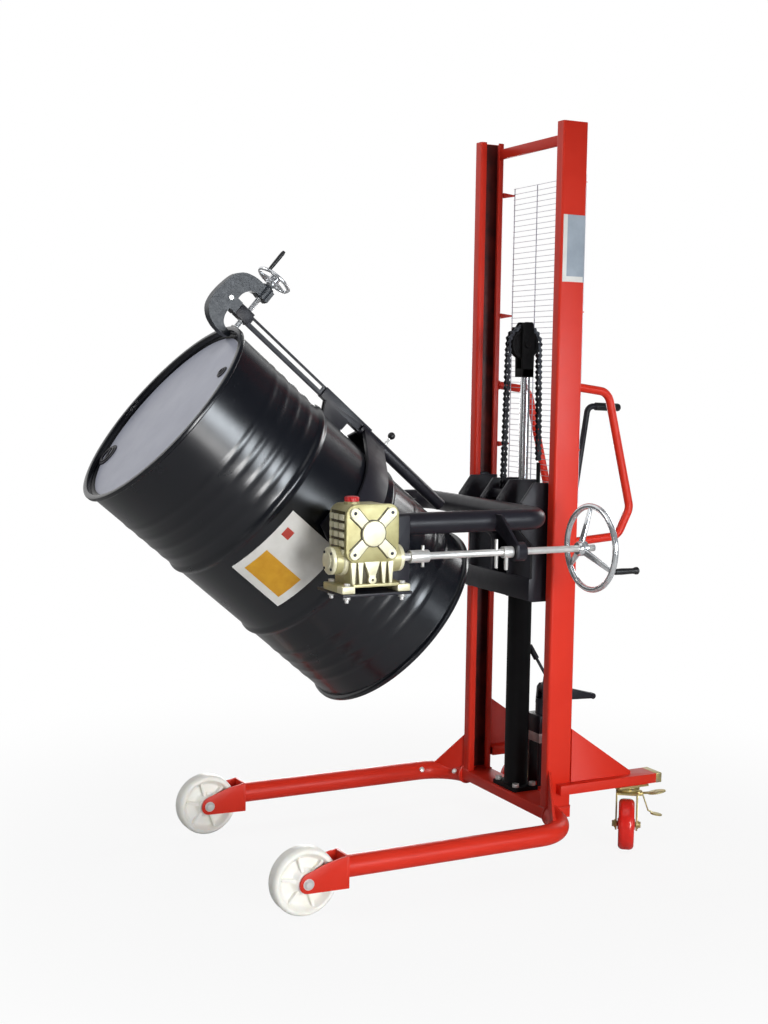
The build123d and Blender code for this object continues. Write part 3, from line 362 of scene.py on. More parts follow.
FINISH_OF_SLOT: dict[str, Finish] = {
    "red_paint": RED_COAT, "black_paint": BLACK_COAT, "bright_steel": TURNED_STEEL, "chrome": CHROME,
    "gold_case": GOLD_CASE, "guard_wire": ZINC_WIRE, "yellow_zinc": YELLOW_ZINC, "cream_nylon": NYLON,
    "red_polyurethane": POLYURETHANE, "dark_steel": OILED_STEEL, "black_plastic": GRIP_PLASTIC,
    "bronze": BRONZE, "grey_casting": GREY_CASTING, "drum_enamel": DRUM_ENAMEL, "lid_enamel": LID_ENAMEL_AND_REFLECTION,
}
SLOT_OF_NODE: dict[str, str] = {part["node"]: part["material_slot"] for part in frame["record"]["subparts"]}
BODY_OF_NODE: dict[str, str] = {
    node: body for body, nodes in frame["record"]["behaviour"]["bodies"].items() for node in nodes}


# Workshop


# Points nearer than this are one point, in millimetres: on a new part, and on a CAD node's loose triangles.
WELD, NODE_WELD = 0.001, 0.005
# Triangles of a CAD node that lean less than this against each other are one face, in degrees.
FLAT = 0.6
# Edges sharper than this are rounded, and edges flatter than this are shaded as one surface, in degrees.
SHARP, SMOOTH = 35.0, 32.0


def show(name: str, data: bpy.types.ID) -> Object:
    """Put a new object into the scene.

    Args:
        name: Name of the object.
        data: Its mesh, lamp or camera.

    Returns:
        The object.
    """
    made = bpy.data.objects.new(name, data)
    bpy.context.scene.collection.objects.link(made)
    return made


def aimed(place: Point, way: Vector, axis: str = "Z") -> Matrix:
    """Frame at a place, with one of its axes along a direction."""
    return Matrix.Translation(place) @ way.to_track_quat(axis, "Y").to_matrix().to_4x4()


def only(kind: type, made: Iterable[object]) -> list:
    """Those of an operator's results that are of one kind."""
    return [item for item in made if isinstance(item, kind)]


class Workpiece:
    """A mesh being made, in millimetres in the machine's frame."""

    def __init__(self) -> None:
        """Start with nothing on the bench."""
        self.bm = bmesh.new()

    def take(self, part: BMesh, closed: bool = True) -> "Workpiece":
        """Add a finished part to the workpiece and let go of it.

        Args:
            part: The part, which is freed.
            closed: Whether its faces can be turned outwards.

        Returns:
            The workpiece.
        """
        bmesh.ops.remove_doubles(part, verts=part.verts[:], dist=WELD)
        if closed:
            bmesh.ops.recalc_face_normals(part, faces=part.faces[:])
        sheet = bpy.data.meshes.new("part")
        part.to_mesh(sheet)
        part.free()
        self.bm.from_mesh(sheet)
        bpy.data.meshes.remove(sheet)
        return self

    def soften(self, part: BMesh, edge: float, segments: int = 2) -> None:
        """Round the sharp edges of a part.

        Args:
            part: The part.
            edge: Width of the rounding in millimetres.
            segments: Facets across the rounding.
        """
        if edge <= 0:
            return
        rims = [e for e in part.edges if len(e.link_faces) == 2 and e.calc_face_angle(0.0) > radians(SHARP)]
        bmesh.ops.bevel(part, geom=rims, offset=edge, affect="EDGES", segments=segments, profile=0.5,
                        material=-1, clamp_overlap=True)

    def round_corners(self, part: BMesh, corners: list[BMVert], radii: dict[int, float],
                      segments: int) -> None:
        """Round corners of an outline.

        Args:
            part: The part that the outline belongs to.
            corners: Corners of the outline in their order.
            radii: Radius of the rounding at some of the corners.
            segments: Facets of a rounded corner.
        """
        for index, radius in radii.items():
            if radius > 0:
                bmesh.ops.bevel(part, geom=[corners[index]], offset=radius, affect="VERTICES",
                                segments=segments, profile=0.5, material=-1)

    def turn(self, profile: Sequence[Pair], origin: Point, axis: Point, steps: int, loop: bool = False,
             rounds: dict[int, float] | None = None) -> "Workpiece":
        """Turn a profile on the lathe.

        Args:
            profile: Radius and distance along the axis, point by point.
            origin: Point on the axis.
            axis: Direction of the axis.
            steps: Facets round the axis.
            loop: Whether the profile closes on itself, as a ring's does.
            rounds: Radius of the rounding at some of the profile's points.

        Returns:
            The workpiece.
        """
        part = bmesh.new()
        centre, along = Vector(origin), Vector(axis).normalized()
        side = along.orthogonal().normalized()
        corners = [part.verts.new(centre + along * level + side * radius) for radius, level in profile]
        for a, b in zip(corners, corners[1:] + corners[:1] if loop else corners[1:]):
            part.edges.new((a, b))
        self.round_corners(part, corners, rounds or {}, segments=4)
        bmesh.ops.spin(part, geom=part.verts[:] + part.edges[:], cent=centre, axis=along, angle=2 * pi,
                       steps=steps, use_merge=True)
        return self.take(part)

    def wrap(self, radius: float, arc: Pair, levels: Pair, thick: float, place: Matrix) -> "Workpiece":
        """Thin sheet bent round the Z axis of a frame.

        Args:
            radius: Radius of the sheet.
            arc: First and last angle in degrees from the frame's X axis.
            levels: Lower and upper edge along the axis.
            thick: Thickness of the sheet.
            place: Frame of the axis.

        Returns:
            The workpiece.
        """
        part = bmesh.new()
        start = Matrix.Rotation(radians(arc[0]), 4, "Z")
        part.edges.new([part.verts.new(start @ Vector((radius, 0, level))) for level in levels])
        bmesh.ops.spin(part, geom=part.verts[:] + part.edges[:], cent=(0, 0, 0), axis=UP,
                       angle=radians(arc[1] - arc[0]), steps=16, use_merge=False)
        bmesh.ops.recalc_face_normals(part, faces=part.faces[:])
        bmesh.ops.solidify(part, geom=part.faces[:], thickness=thick)
        part.transform(place)
        return self.take(part)

    def plate(self, outline: Sequence[Pair], place: Matrix, thick: float, edge: float,
              corners: dict[int, float] | float = 0.0, segments: int = 4) -> "Workpiece":
        """Cut a flat outline and give it thickness.

        Args:
            outline: Corners in the plane's own axes.
            place: Plane of the outline; its Z is the way of the thickness.
            thick: Thickness in millimetres.
            edge: Rounding of the edges.
            corners: One radius for all corners of the outline, or a radius for some of them.
            segments: Facets of a rounded corner.

        Returns:
            The workpiece.
        """
        part = bmesh.new()
        points = [part.verts.new(place @ Vector((u, v, 0.0))) for u, v in outline]
        part.faces.new(points)
        radii = dict.fromkeys(range(len(points)), corners) if isinstance(corners, (int, float)) else corners
        self.round_corners(part, points, radii, segments)
        raised = bmesh.ops.extrude_face_region(part, geom=part.faces[:])["geom"]
        bmesh.ops.translate(part, verts=only(BMVert, raised), vec=place.to_3x3() @ Vector((0, 0, thick)))
        bmesh.ops.recalc_face_normals(part, faces=part.faces[:])
        self.soften(part, edge)
        return self.take(part)

    def block(self, low: Triple, high: Triple, edge: float, place: Matrix | None = None) -> "Workpiece":
        """Box between two corners.

        Args:
            low: Lowest corner.
            high: Highest corner.
            edge: Rounding of the edges.
            place: Turn and shift of the finished box.

        Returns:
            The workpiece.
        """
        part = bmesh.new()
        size = [b - a for a, b in zip(low, high)]
        middle = [(a + b) / 2 for a, b in zip(low, high)]
        stretch = Matrix.Diagonal((*size, 1.0))
        bmesh.ops.create_cube(part, size=1.0, matrix=Matrix.Translation(middle) @ stretch)
        self.soften(part, edge)
        if place:
            part.transform(place)
        return self.take(part)

    def bar(self, start: Point, end: Point, radius: float, edge: float, sides: int = 32,
            tip: float | None = None) -> "Workpiece":
        """Round, tapered or many-sided bar between two points.

        Args:
            start: Middle of one end.
            end: Middle of the other end.
            radius: Radius at the start.
            edge: Rounding of the end rims.
            sides: Facets round the bar; six makes a hexagon.
            tip: Radius at the end where it tapers.

        Returns:
            The workpiece.
        """
        part = bmesh.new()
        run = Vector(end) - Vector(start)
        bmesh.ops.create_cone(part, cap_ends=True, segments=sides, radius1=radius,
                              radius2=radius if tip is None else tip, depth=run.length,
                              matrix=aimed((Vector(start) + Vector(end)) / 2, run))
        self.soften(part, edge)
        return self.take(part)

    def arm(self, start: Point, end: Point, across: Point, broad: Pair, deep: Pair,
            edge: float) -> "Workpiece":
        """Tapered flat arm, such as a cast spoke.

        Args:
            start: Middle of the root.
            end: Middle of the tip.
            across: Direction of the arm's breadth.
            broad: Breadth at root and tip.
            deep: Depth at root and tip.
            edge: Rounding of the edges.

        Returns:
            The workpiece.
        """
        part = bmesh.new()
        along = (Vector(end) - Vector(start)).normalized()
        wide = Vector(across) - along * Vector(across).dot(along)
        wide.normalize()
        thin = along.cross(wide)
        bmesh.ops.create_cube(part, size=1.0)
        for corner in part.verts:
            at_tip = 1 if corner.co.z > 0 else 0
            corner.co = (Vector(end if at_tip else start) + wide * corner.co.x * broad[at_tip]
                         + thin * corner.co.y * deep[at_tip])
        bmesh.ops.recalc_face_normals(part, faces=part.faces[:])
        self.soften(part, edge, segments=3)
        return self.take(part)

    def bent_bar(self, points: Sequence[Triple], bend: float, radius: float, sides: int = 24,
                 steps: int = 8) -> "Workpiece":
        """Round bar along straight runs joined by bends.

        Args:
            points: Corners of the route.
            bend: Radius of every bend along the middle of the bar.
            radius: Radius of the bar.
            sides: Facets round the bar.
            steps: Facets along a bend.

        Returns:
            The workpiece.
        """
        part = bmesh.new()
        route = [Vector(p) for p in points]
        here = route[0]
        way = (route[1] - route[0]).normalized()
        bmesh.ops.create_circle(part, cap_ends=False, segments=sides, radius=radius, matrix=aimed(here, way))
        ring = part.edges[:]
        for corner, after in zip(route[1:], route[2:] + [None]):
            turned = (after - corner).normalized() if after else way
            angle = way.angle(turned)
            stop = corner - way * (bend * tan(angle / 2))
            pulled = bmesh.ops.extrude_edge_only(part, edges=ring)["geom"]
            bmesh.ops.translate(part, verts=only(BMVert, pulled), vec=stop - here)
            ring = [e for e in only(BMEdge, pulled) if len(e.link_faces) == 1]
            here = stop
            if after:
                axis = way.cross(turned).normalized()
                centre = stop + axis.cross(way) * bend
                rim = list({v for e in ring for v in e.verts})
                spun = bmesh.ops.spin(part, geom=rim + ring, cent=centre, axis=axis, angle=angle, steps=steps,
                                      use_merge=False)
                ring = only(BMEdge, spun["geom_last"])
                here = corner + turned * (bend * tan(angle / 2))
                way = turned
        bmesh.ops.holes_fill(part, edges=[e for e in part.edges if len(e.link_faces) == 1], sides=0)
        return self.take(part)

    def copy_of(self, node: str, edge: float) -> "Workpiece":
        """A CAD node's own shape with its edges rounded as sawn, cast or cut steel is.

        Args:
            node: Name of the node.
            edge: Width of the rounding.

        Returns:
            The workpiece.
        """
        part = bmesh.new()
        part.from_mesh(frame["nodes"][node].data)
        part.transform(Matrix.Scale(1 / MM, 4))
        bmesh.ops.remove_doubles(part, verts=part.verts[:], dist=NODE_WELD)
        bmesh.ops.dissolve_limit(part, angle_limit=radians(FLAT), verts=part.verts[:], edges=part.edges[:])
        self.soften(part, edge)
        return self.take(part, closed=False)

    def move(self, place: Matrix) -> "Workpiece":
        """Shift and turn everything made so far."""
        self.bm.transform(place)
        return self

    def piece(self, name: str, finish: Finish, body: str, slot: str | None = None,
              stands_for: Iterable[str] = ()) -> Object:
        """Turn the workpiece into a piece of the model that rides on a body.

        Args:
            name: Name of the piece.
            finish: Its surface.
            body: Body that it rides on; an empty name leaves that to the caller.
            slot: Material slot of the record that it takes its finish from; it is not used.
            stands_for: CAD nodes that it replaces.

        Returns:
            The Blender object.
        """
        self.bm.transform(Matrix.Scale(MM, 4))
        mesh = bpy.data.meshes.new(name)
        self.bm.to_mesh(mesh)
        self.bm.free()
        mesh.shade_smooth()
        mesh.set_sharp_from_angle(angle=radians(SMOOTH))
        mesh.materials.append(finish.material())
        made = show(name, mesh)
        if body:
            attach(made, body)
        if stands_for:
            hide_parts(*stands_for)
        log.info("%s: %d faces", name, len(mesh.polygons))
        return made

    def stand_for(self, node: str, name: str, finish: Finish) -> Object:
        """Turn the workpiece into a piece in a CAD node's stead, on the node's body."""
        return self.piece(name, finish, BODY_OF_NODE[node], SLOT_OF_NODE[node], [node])


def dress(nodes: Iterable[str], edge: float, finish: Finish | None = None) -> None:
    """Show CAD nodes with rounded edges in their own finish.

    Args:
        nodes: Names of the nodes.
        edge: Width of the rounding in millimetres.
        finish: Another finish than the one of the node's slot.
    """
    for node in nodes:
        coat = finish or FINISH_OF_SLOT[SLOT_OF_NODE[node]]
        Workpiece().copy_of(node, edge).stand_for(node, f"{node}_dressed", coat)


def paint(nodes: Iterable[str]) -> None:
    """Give CAD nodes that stay as they are the finish of their slot.

    Args:
        nodes: Names of the nodes.
    """
    for node in nodes:
        shown = frame["nodes"][node]
        material = FINISH_OF_SLOT[SLOT_OF_NODE[node]].material()
        if not shown.material_slots:
            shown.data.materials.append(material)
        for slot in shown.material_slots:
            slot.material = material


# Studio


@dataclass(frozen=True)
class Studio:
    """White room with a key box low on the machine's left and a window that the drum mirrors."""

    eye: Triple = (2.2757, 3.5969, 1.3555)
    yaw: float = 0.4696
    pitch: float = 0.0944
    roll: float = -0.015
    focal_px: float = 1447.43
    picture_height_px: float = 1024.0
    sensor_mm: float = 36.0
    fill: float = 0.14
    front_way: Triple = (-0.17, 0.985, 0.0)
    front_edge: Pair = (-0.7, -0.25)
    front_grey: Rgba = (0.07, 0.075, 0.085, 1.0)
    floor_half: float = 30.0
    shadow_middle: Triple = (0.3, 0.0, 0.0)
    shadow_reach: Pair = (0.8, 2.2)
    shadow_white: Pair = (0.9, 1.0)

    def camera(self) -> None:
        """Set the camera where the photograph was taken from."""
        view = Vector((-sin(self.yaw) * cos(self.pitch), -cos(self.yaw) * cos(self.pitch), -sin(self.pitch)))
        right = Vector((-cos(self.yaw), sin(self.yaw), 0.0))
        down = view.cross(right)
        across = right * cos(self.roll) + down * sin(self.roll)
        up = right * sin(self.roll) - down * cos(self.roll)
        data = bpy.data.cameras.new("photo_camera")
        data.sensor_fit = "VERTICAL"
        data.sensor_height = self.sensor_mm
        data.lens = self.focal_px * self.sensor_mm / self.picture_height_px
        camera = show("photo_camera", data)
        turn = Matrix((across, up, -view)).transposed().to_4x4()
        camera.matrix_world = Matrix.Translation(self.eye) @ turn
        bpy.context.scene.camera = camera

    def lamp(self, name: str, place: Triple, target: Triple, size: Pair, watts: float, fan: float = 180.0,
             tint: Triple = WHITE[:3]) -> None:
        """Hang one soft box.

        Args:
            name: Name of the lamp.
            place: Where it hangs, in metres.
            target: Point it faces.
            size: Width and height.
            watts: Power.
            fan: How far its light fans out, in degrees; a grid over the box makes it narrow.
            tint: Colour of its light.
        """
        data = bpy.data.lights.new(name, "AREA")
        data.spread = radians(fan)
        data.shape = "RECTANGLE"
        data.size, data.size_y = size
        data.energy = watts
        data.color = tint
        show(name, data).matrix_world = aimed(place, Vector(target) - Vector(place), "-Z")

    def room(self) -> None:
        """White room all round, less bright to the surfaces that it lights."""
        world = bpy.data.worlds.new("white_room")
        tree = emptied(world)
        path = add(tree, "ShaderNodeLightPath").outputs
        seen = add(tree, "ShaderNodeMath", {
            0: path["Is Camera Ray"], 1: path["Is Transmission Ray"]}, operation="MAXIMUM")
        shine = add(tree, "ShaderNodeMath", {
            0: seen.outputs["Value"], 1: path["Is Glossy Ray"]}, operation="MAXIMUM")
        fill = add(tree, "ShaderNodeBackground", {"Color": WHITE, "Strength": self.fill})
        walls = add(tree, "ShaderNodeBackground", {"Color": self.front_of_room(tree), "Strength": 1.0})
        white = add(tree, "ShaderNodeBackground", {"Color": WHITE, "Strength": 1.0})
        glossy = add(tree, "ShaderNodeMixShader", {
            0: shine.outputs["Value"], 1: fill.outputs["Background"], 2: walls.outputs["Background"]})
        whole = add(tree, "ShaderNodeMixShader", {
            0: seen.outputs["Value"], 1: glossy.outputs["Shader"], 2: white.outputs["Background"]})
        add(tree, "ShaderNodeOutputWorld", {"Surface": whole.outputs["Shader"]})
        bpy.context.scene.world = world

    def front_of_room(self, tree: NodeTree) -> NodeSocket:
        """What polished surfaces mirror: the white wall behind the machine and a dimmer room before it.

        Args:
            tree: Node tree of the world.

        Returns:
            The colour socket.
        """
        way = add(tree, "ShaderNodeTexCoord").outputs["Generated"]
        side = add(tree, "ShaderNodeVectorMath", {0: way, 1: self.front_way}, operation="DOT_PRODUCT")
        fade = add(tree, "ShaderNodeMapRange", {
            "Value": side.outputs["Value"],
            "From Min": self.front_edge[0], "From Max": self.front_edge[1],
            "To Min": 0.0, "To Max": 1.0}, interpolation_type="SMOOTHSTEP")
        mix = add(tree, "ShaderNodeMix", {
            0: fade.outputs["Result"], MIX_A: WHITE, MIX_B: self.front_grey}, data_type="RGBA")
        return mix.outputs[MIX_OUT]

    def floor(self) -> None:
        """Pale floor that keeps a soft shadow under the machine."""
        bm = bmesh.new()
        bmesh.ops.create_grid(bm, x_segments=1, y_segments=1, size=self.floor_half)
        mesh = bpy.data.meshes.new("pale_floor")
        bm.to_mesh(mesh)
        bm.free()
        material = bpy.data.materials.new("pale_floor_paint")
        tree = emptied(material)
        path = add(tree, "ShaderNodeLightPath")
        place = add(tree, "ShaderNodeTexCoord").outputs["Object"]
        away = add(tree, "ShaderNodeVectorMath", {0: place, 1: self.shadow_middle}, operation="DISTANCE")
        fade = add(tree, "ShaderNodeMapRange", {
            "Value": away.outputs["Value"],
            "From Min": self.shadow_reach[0], "From Max": self.shadow_reach[1],
            "To Min": self.shadow_white[0], "To Max": self.shadow_white[1]}, interpolation_type="SMOOTHSTEP")
        seen = add(tree, "ShaderNodeMath", {0: path.outputs["Is Camera Ray"], 1: fade.outputs["Result"]},
                   operation="MULTIPLY")
        matt = add(tree, "ShaderNodeBsdfDiffuse", {"Color": linear("#d0d0d0")})
        white = add(tree, "ShaderNodeEmission", {"Color": WHITE, "Strength": 1.0})
        both = add(tree, "ShaderNodeMixShader", {
            0: seen.outputs["Value"], 1: matt.outputs["BSDF"], 2: white.outputs["Emission"]})
        add(tree, "ShaderNodeOutputMaterial", {"Surface": both.outputs["Shader"]})
        mesh.materials.append(material)
        floor = show("pale_floor", mesh)

    def build(self) -> None:
        """Set up camera, room, floor and lamps."""
        bpy.context.scene.view_settings.view_transform = "Standard"
        self.camera()
        self.room()
        self.floor()
        centre = (0.35, 0.1, 1.0)
        self.lamp("key_box", (0.5, 4.6, 1.0), (0.2, 0.2, 0.3), (0.85, 1.7), 22.0, 72.0)
        self.lamp("drum_window", (-1.2, 4.2, 1.5), (0.85, 0.28, 1.1), (2.1, 1.3), 5.8, 34.0,
                  (0.87, 0.94, 1.0))
        self.lamp("front_top_box", (3.2, -0.8, 3.4), (0.9, 0.0, 1.2), (1.6, 1.6), 35.0)
        self.lamp("front_strip", (4.4, 2.4, 1.3), centre, (0.3, 2.4), 10.0)
        self.lamp("ceiling_box", (0.9, 1.2, 4.4), centre, (2.6, 2.6), 22.0)
        self.lamp("far_fill", (-1.2, -4.2, 1.0), centre, (1.5, 1.5), 60.0)
        self.lamp("rear_fill", (-4.0, -1.5, 2.2), centre, (1.5, 1.5), 55.0)


# Sub-assemblies


def side_plane(level: float) -> Matrix:
    """Plane of an outline drawn in X and Z, whose thickness runs along Y from a level."""
    return Matrix(((1, 0, 0, 0), (0, 0, 1, level), (0, 1, 0, 0), (0, 0, 0, 1)))


def mirrored(half: Sequence[Pair]) -> list[Pair]:
    """Half of a turned section and its mirror image; a point in the middle plane stays single."""
    return [*half, *((radius, -level) for radius, level in reversed(half) if level)]


def circle_profile(radius: float, tube: float, level: float = 0.0, sides: int = 16) -> list[Pair]:
    """Round section of a wheel rim.

    Args:
        radius: Distance of the section's middle from the axis.
        tube: Radius of the section.
        level: Place of the rim along the axis.
        sides: Corners of the section.

    Returns:
        Radius and level of each corner.
    """
    angles = [2 * pi * step / sides for step in range(sides)]
    return [(radius + tube * cos(a), level + tube * sin(a)) for a in angles]


def ball_profile(radius: float, level: float, steps: int = 12) -> list[Pair]:
    """Half outline of a ball whose middle lies on the axis at a level."""
    angles = [pi * step / steps for step in range(steps + 1)]
    return [(radius * sin(a), level - radius * cos(a)) for a in angles]


@dataclass
class Mast:
    """Two lipped channels, their top bar, the handles and the bare plate on the near web."""

    web_y: float = 237.0
    lip_y: float = 201.0
    depth: float = 82.0
    foot: float = 136.0
    top: float = 2052.0
    plate_x: Pair = (-33.0, 34.0)
    plate_z: Pair = (1618.0, 1800.0)
    corner: float = 8.0
    handle_y: float = 210.0
    handle_radius: float = 12.0
    handle_bend: float = 40.0
    handle_weld: float = 2.4
    foot_weld: float = 3.0
    track_in: Pair = (5.7, 5.1)

    def build(self) -> None:
        """Dress the channels, bend the handles and stick the plate on."""
        dress(["left_mast_channel", "right_mast_channel", "mast_top_bar"], 1.2)
        self.handles()
        self.welds()
        self.tracks()
        self.rating_plate()

    def handles(self) -> None:
        """Bent tubes behind the columns, welded on at both ends."""
        work, bead = Workpiece(), circle_profile(self.handle_radius, self.handle_weld, sides=8)
        for side in Side:
            y = side.value * self.handle_y
            route = [(-37, y, 1330.6), (-150, y, 1316), (-236, y, 985), (-196, y, 905), (-37, y, 892.6)]
            work.bent_bar(route, self.handle_bend, self.handle_radius)
            for level in (1330.2, 892.9):
                work.turn(bead, (-42.0, y, level), AHEAD, 24, loop=True)
        work.stand_for("rear_handles", "push_handles", RED_COAT)

    def welds(self) -> None:
        """Fillet welds round the feet of the columns."""
        work = Workpiece()
        back, front = -self.depth / 2, self.depth / 2
        for side in Side:
            lip, web = side.value * self.lip_y, side.value * self.web_y
            corners = ((front, lip), (front, web), (back, web), (back, lip))
            work.bent_bar([(x, y, self.foot) for x, y in corners], self.corner, self.foot_weld, sides=10)
        work.piece("column_welds", RED_WELD, "chassis", "red_paint")

    def tracks(self) -> None:
        """Dark strips inside the channels, behind the rollers, as painted shade."""
        work = Workpiece()
        half = self.depth / 2 - 7
        for side in Side:
            near, far = sorted(side.value * (self.web_y - depth) for depth in self.track_in)
            work.block((-half, near, self.foot + 4), (half, far, self.top - 2), 0.2)
        # The dark strips are painted shade.
        work.piece("roller_tracks", CHANNEL_PAINTED_SHADE, "chassis")

    def rating_plate(self) -> None:
        """Bare aluminium sheet that wraps the web's rear corner, white along its front and lower edges."""
        level = self.web_y + 0.2
        (rear, front), (low, high) = self.plate_x, self.plate_z
        part = bmesh.new()
        ends = [part.verts.new((x, level, low)) for x in (front, rear)]
        part.edges.new(ends)
        bmesh.ops.spin(part, geom=[ends[1]], cent=(rear, self.web_y - self.corner, 0), axis=UP,
                       angle=radians(70), steps=6, use_merge=False)
        raised = bmesh.ops.extrude_edge_only(part, edges=part.edges[:])["geom"]
        bmesh.ops.translate(part, verts=only(BMVert, raised), vec=(0, 0, high - low))
        bmesh.ops.recalc_face_normals(part, faces=part.faces[:])
        bmesh.ops.solidify(part, geom=part.faces[:], thickness=0.5)
        Workpiece().take(part).piece("rating_plate", PLATE_ALUMINIUM, "chassis")
        margin = Workpiece()
        margin.block((front - 13, level, low - 0.2), (front + 0.2, level + 0.9, high + 0.2), 0.3)
        margin.block((rear, level, low - 0.2), (front - 12.5, level + 0.9, low + 15), 0.3)
        margin.piece("plate_margin", LABEL_PAPER, "chassis")


@dataclass
class Undercarriage:
    """Base frame, outriggers, bent legs with their wheel forks, and axles."""

    leg_y: float = 358.0
    leg_z: float = 107.0
    leg_radius: float = 28.5
    leg_bend: float = 110.0
    leg_x: float = 40.0
    leg_root: Pair = (24.0, 117.0)
    leg_end: float = 732.0
    column_y: float = 237.0
    axle_x: float = 845.0
    axle_z: float = 88.0
    fork_plate: float = 8.0
    fork_half: float = 36.0
    fork_z: Pair = (61.0, 145.0)
    cheek: float = 6.0
    weld: float = 3.0
    base_x: Pair = (-41.0, 45.0)
    base_z: Pair = (104.0, 136.0)
    base_wall: float = 8.0
    tail_x: Pair = (-343.0, -322.0)
    tail_y: Pair = (192.7, 263.3)
    tail_z: Pair = (177.7, 206.3)
    shelf_x: float = -135.0
    shelf_half: float = 60.0
    gusset_x: float = 32.0
    gusset_way: Pair = (55.0, 114.0)
    gusset_thick: float = 8.0

    def build(self) -> None:
        """Weld the base, dress the outriggers and bend both legs."""
        self.base()
        dress(["rear_outriggers"], 1.5)
        self.outrigger_ends()
        for side in Side:
            self.leg(side)
        self.axles()
        dress(["frame_bolts"], 1.0)

    def base(self) -> None:
        """Inverted channel under the columns, closed by a plate at each end, with the pump's shelf behind."""
        (back, front), (low, top), wall = self.base_x, self.base_z, self.base_wall
        work = Workpiece()
        section = [(back, low), (back, top), (front, top), (front, low), (front - wall, low),
                   (front - wall, top - wall), (back + wall, top - wall), (back + wall, low)]
        work.plate(section, side_plane(-self.column_y), 2 * self.column_y, 1.5)
        half = self.shelf_half
        work.block((self.shelf_x, -half, top - wall), (back + 0.5, half, top - 0.1), 1.5)
        for level in (self.column_y - wall, -self.column_y):
            work.block((back + 2, level + 0.2, low + 0.5), (front - 2, level + wall - 0.2, top - 2), 0.5)
        work.stand_for("base_frame", "base_frame_dressed", RED_COAT)

    def outrigger_ends(self) -> None:
        """Zinc sleeves over the tails of the outriggers."""
        work = Workpiece()
        for side in Side:
            right, left = sorted(side.value * y for y in self.tail_y)
            work.block((self.tail_x[0], right, self.tail_z[0]), (self.tail_x[1], left, self.tail_z[1]), 1.5)
        work.piece("outrigger_ends", YELLOW_ZINC, "chassis", "yellow_zinc")

    def axles(self) -> None:
        """Wheel axles with a domed head on a washer outside each cheek."""
        work = Workpiece()
        x, z = self.axle_x, self.axle_z
        head = [(0, 30), (10, 30), (10, 36), (14.5, 36), (14.5, 38), (12, 38), (11.5, 41), (8, 43.5), (0, 44)]
        for side in Side:
            y = side.value * self.leg_y
            for way in (1, -1):
                work.turn(head, (x, y, z), (0, way, 0), 32)
            work.bar((x, y - 31, z), (x, y + 31, z), 10.0, 0.0)
        work.stand_for("front_axles", "wheel_axles", TURNED_STEEL)

    def leg(self, side: Side) -> None:
        """One straddle leg: bent tube, fork, gusset and the bolt heads on its inner flank.

        Args:
            side: Which leg.
        """
        sign, y = side.value, side.value * self.leg_y
        work = Workpiece()
        root_x, root_z = self.leg_root
        route = [(self.leg_end, y, self.leg_z), (self.leg_x, y, self.leg_z),
                 (root_x, sign * (self.column_y - 1), root_z)]
        work.bent_bar(route, self.leg_bend, self.leg_radius, sides=40, steps=20)
        back, half, (low, high) = self.leg_end + self.fork_plate, self.fork_half, self.fork_z
        work.block((self.leg_end, y - half - 0.4, low), (back, y + half + 0.4, high), 1.5)
        cheek = [(back - 1, low), (back - 1, high), (790, 136), (868, 107), (868, 64)]
        for level in (y - half, y + half - self.cheek):
            work.plate(cheek, side_plane(level), self.cheek, 1.2, {2: 18.0, 3: 20.0, 4: 20.0})
        gusset = [(0, 246), (0, 112), (126, 112), (126, 126)]
        work.plate(gusset, self.gusset_plane(sign), self.gusset_thick, 1.2)
        work.stand_for(f"{side.word}_leg", f"{side.word}_straddle_leg", RED_COAT)
        seams, bead = Workpiece(), circle_profile(self.leg_radius, self.weld, sides=8)
        seams.turn(bead, (self.leg_end, y, self.leg_z), AHEAD, 40, loop=True)
        seams.turn(bead, (root_x, sign * self.column_y, root_z), ACROSS, 40, loop=True)
        seams.piece(f"{side.word}_leg_welds", RED_WELD, "chassis", "red_paint")
        heads = Workpiece()
        bolts = [((135.2, 330.5, 117.5), (4.6, -25.8, 10.5))]
        if side is Side.RIGHT:
            bolts.append(((58.4, 257.2, 122.5), (21.4, -2.2, 18.5)))
        for spot, out in bolts:
            foot = Vector((spot[0], sign * spot[1], spot[2]))
            way = Vector((out[0], sign * out[1], out[2])).normalized()
            heads.bar(foot - way, foot + way * 5, 9.0, 2.0, tip=7.5)
        heads.piece(f"{side.word}_leg_bolts", TURNED_STEEL, "chassis", "bright_steel")

    def gusset_plane(self, sign: int) -> Matrix:
        """Upright plane of the front gusset, from the column's face out over the bend of the leg.

        Args:
            sign: One on the left and minus one on the right.

        Returns:
            The plane, with X along the gusset and Y up.
        """
        along = Vector((self.gusset_way[0], sign * self.gusset_way[1], 0)).normalized()
        up = Vector(UP)
        out = along.cross(up)
        foot = Vector((self.gusset_x, sign * self.column_y, 0)) - out * (self.gusset_thick / 2)
        turn = Matrix((along, up, out)).transposed().to_4x4()
        return Matrix.Translation(foot) @ turn


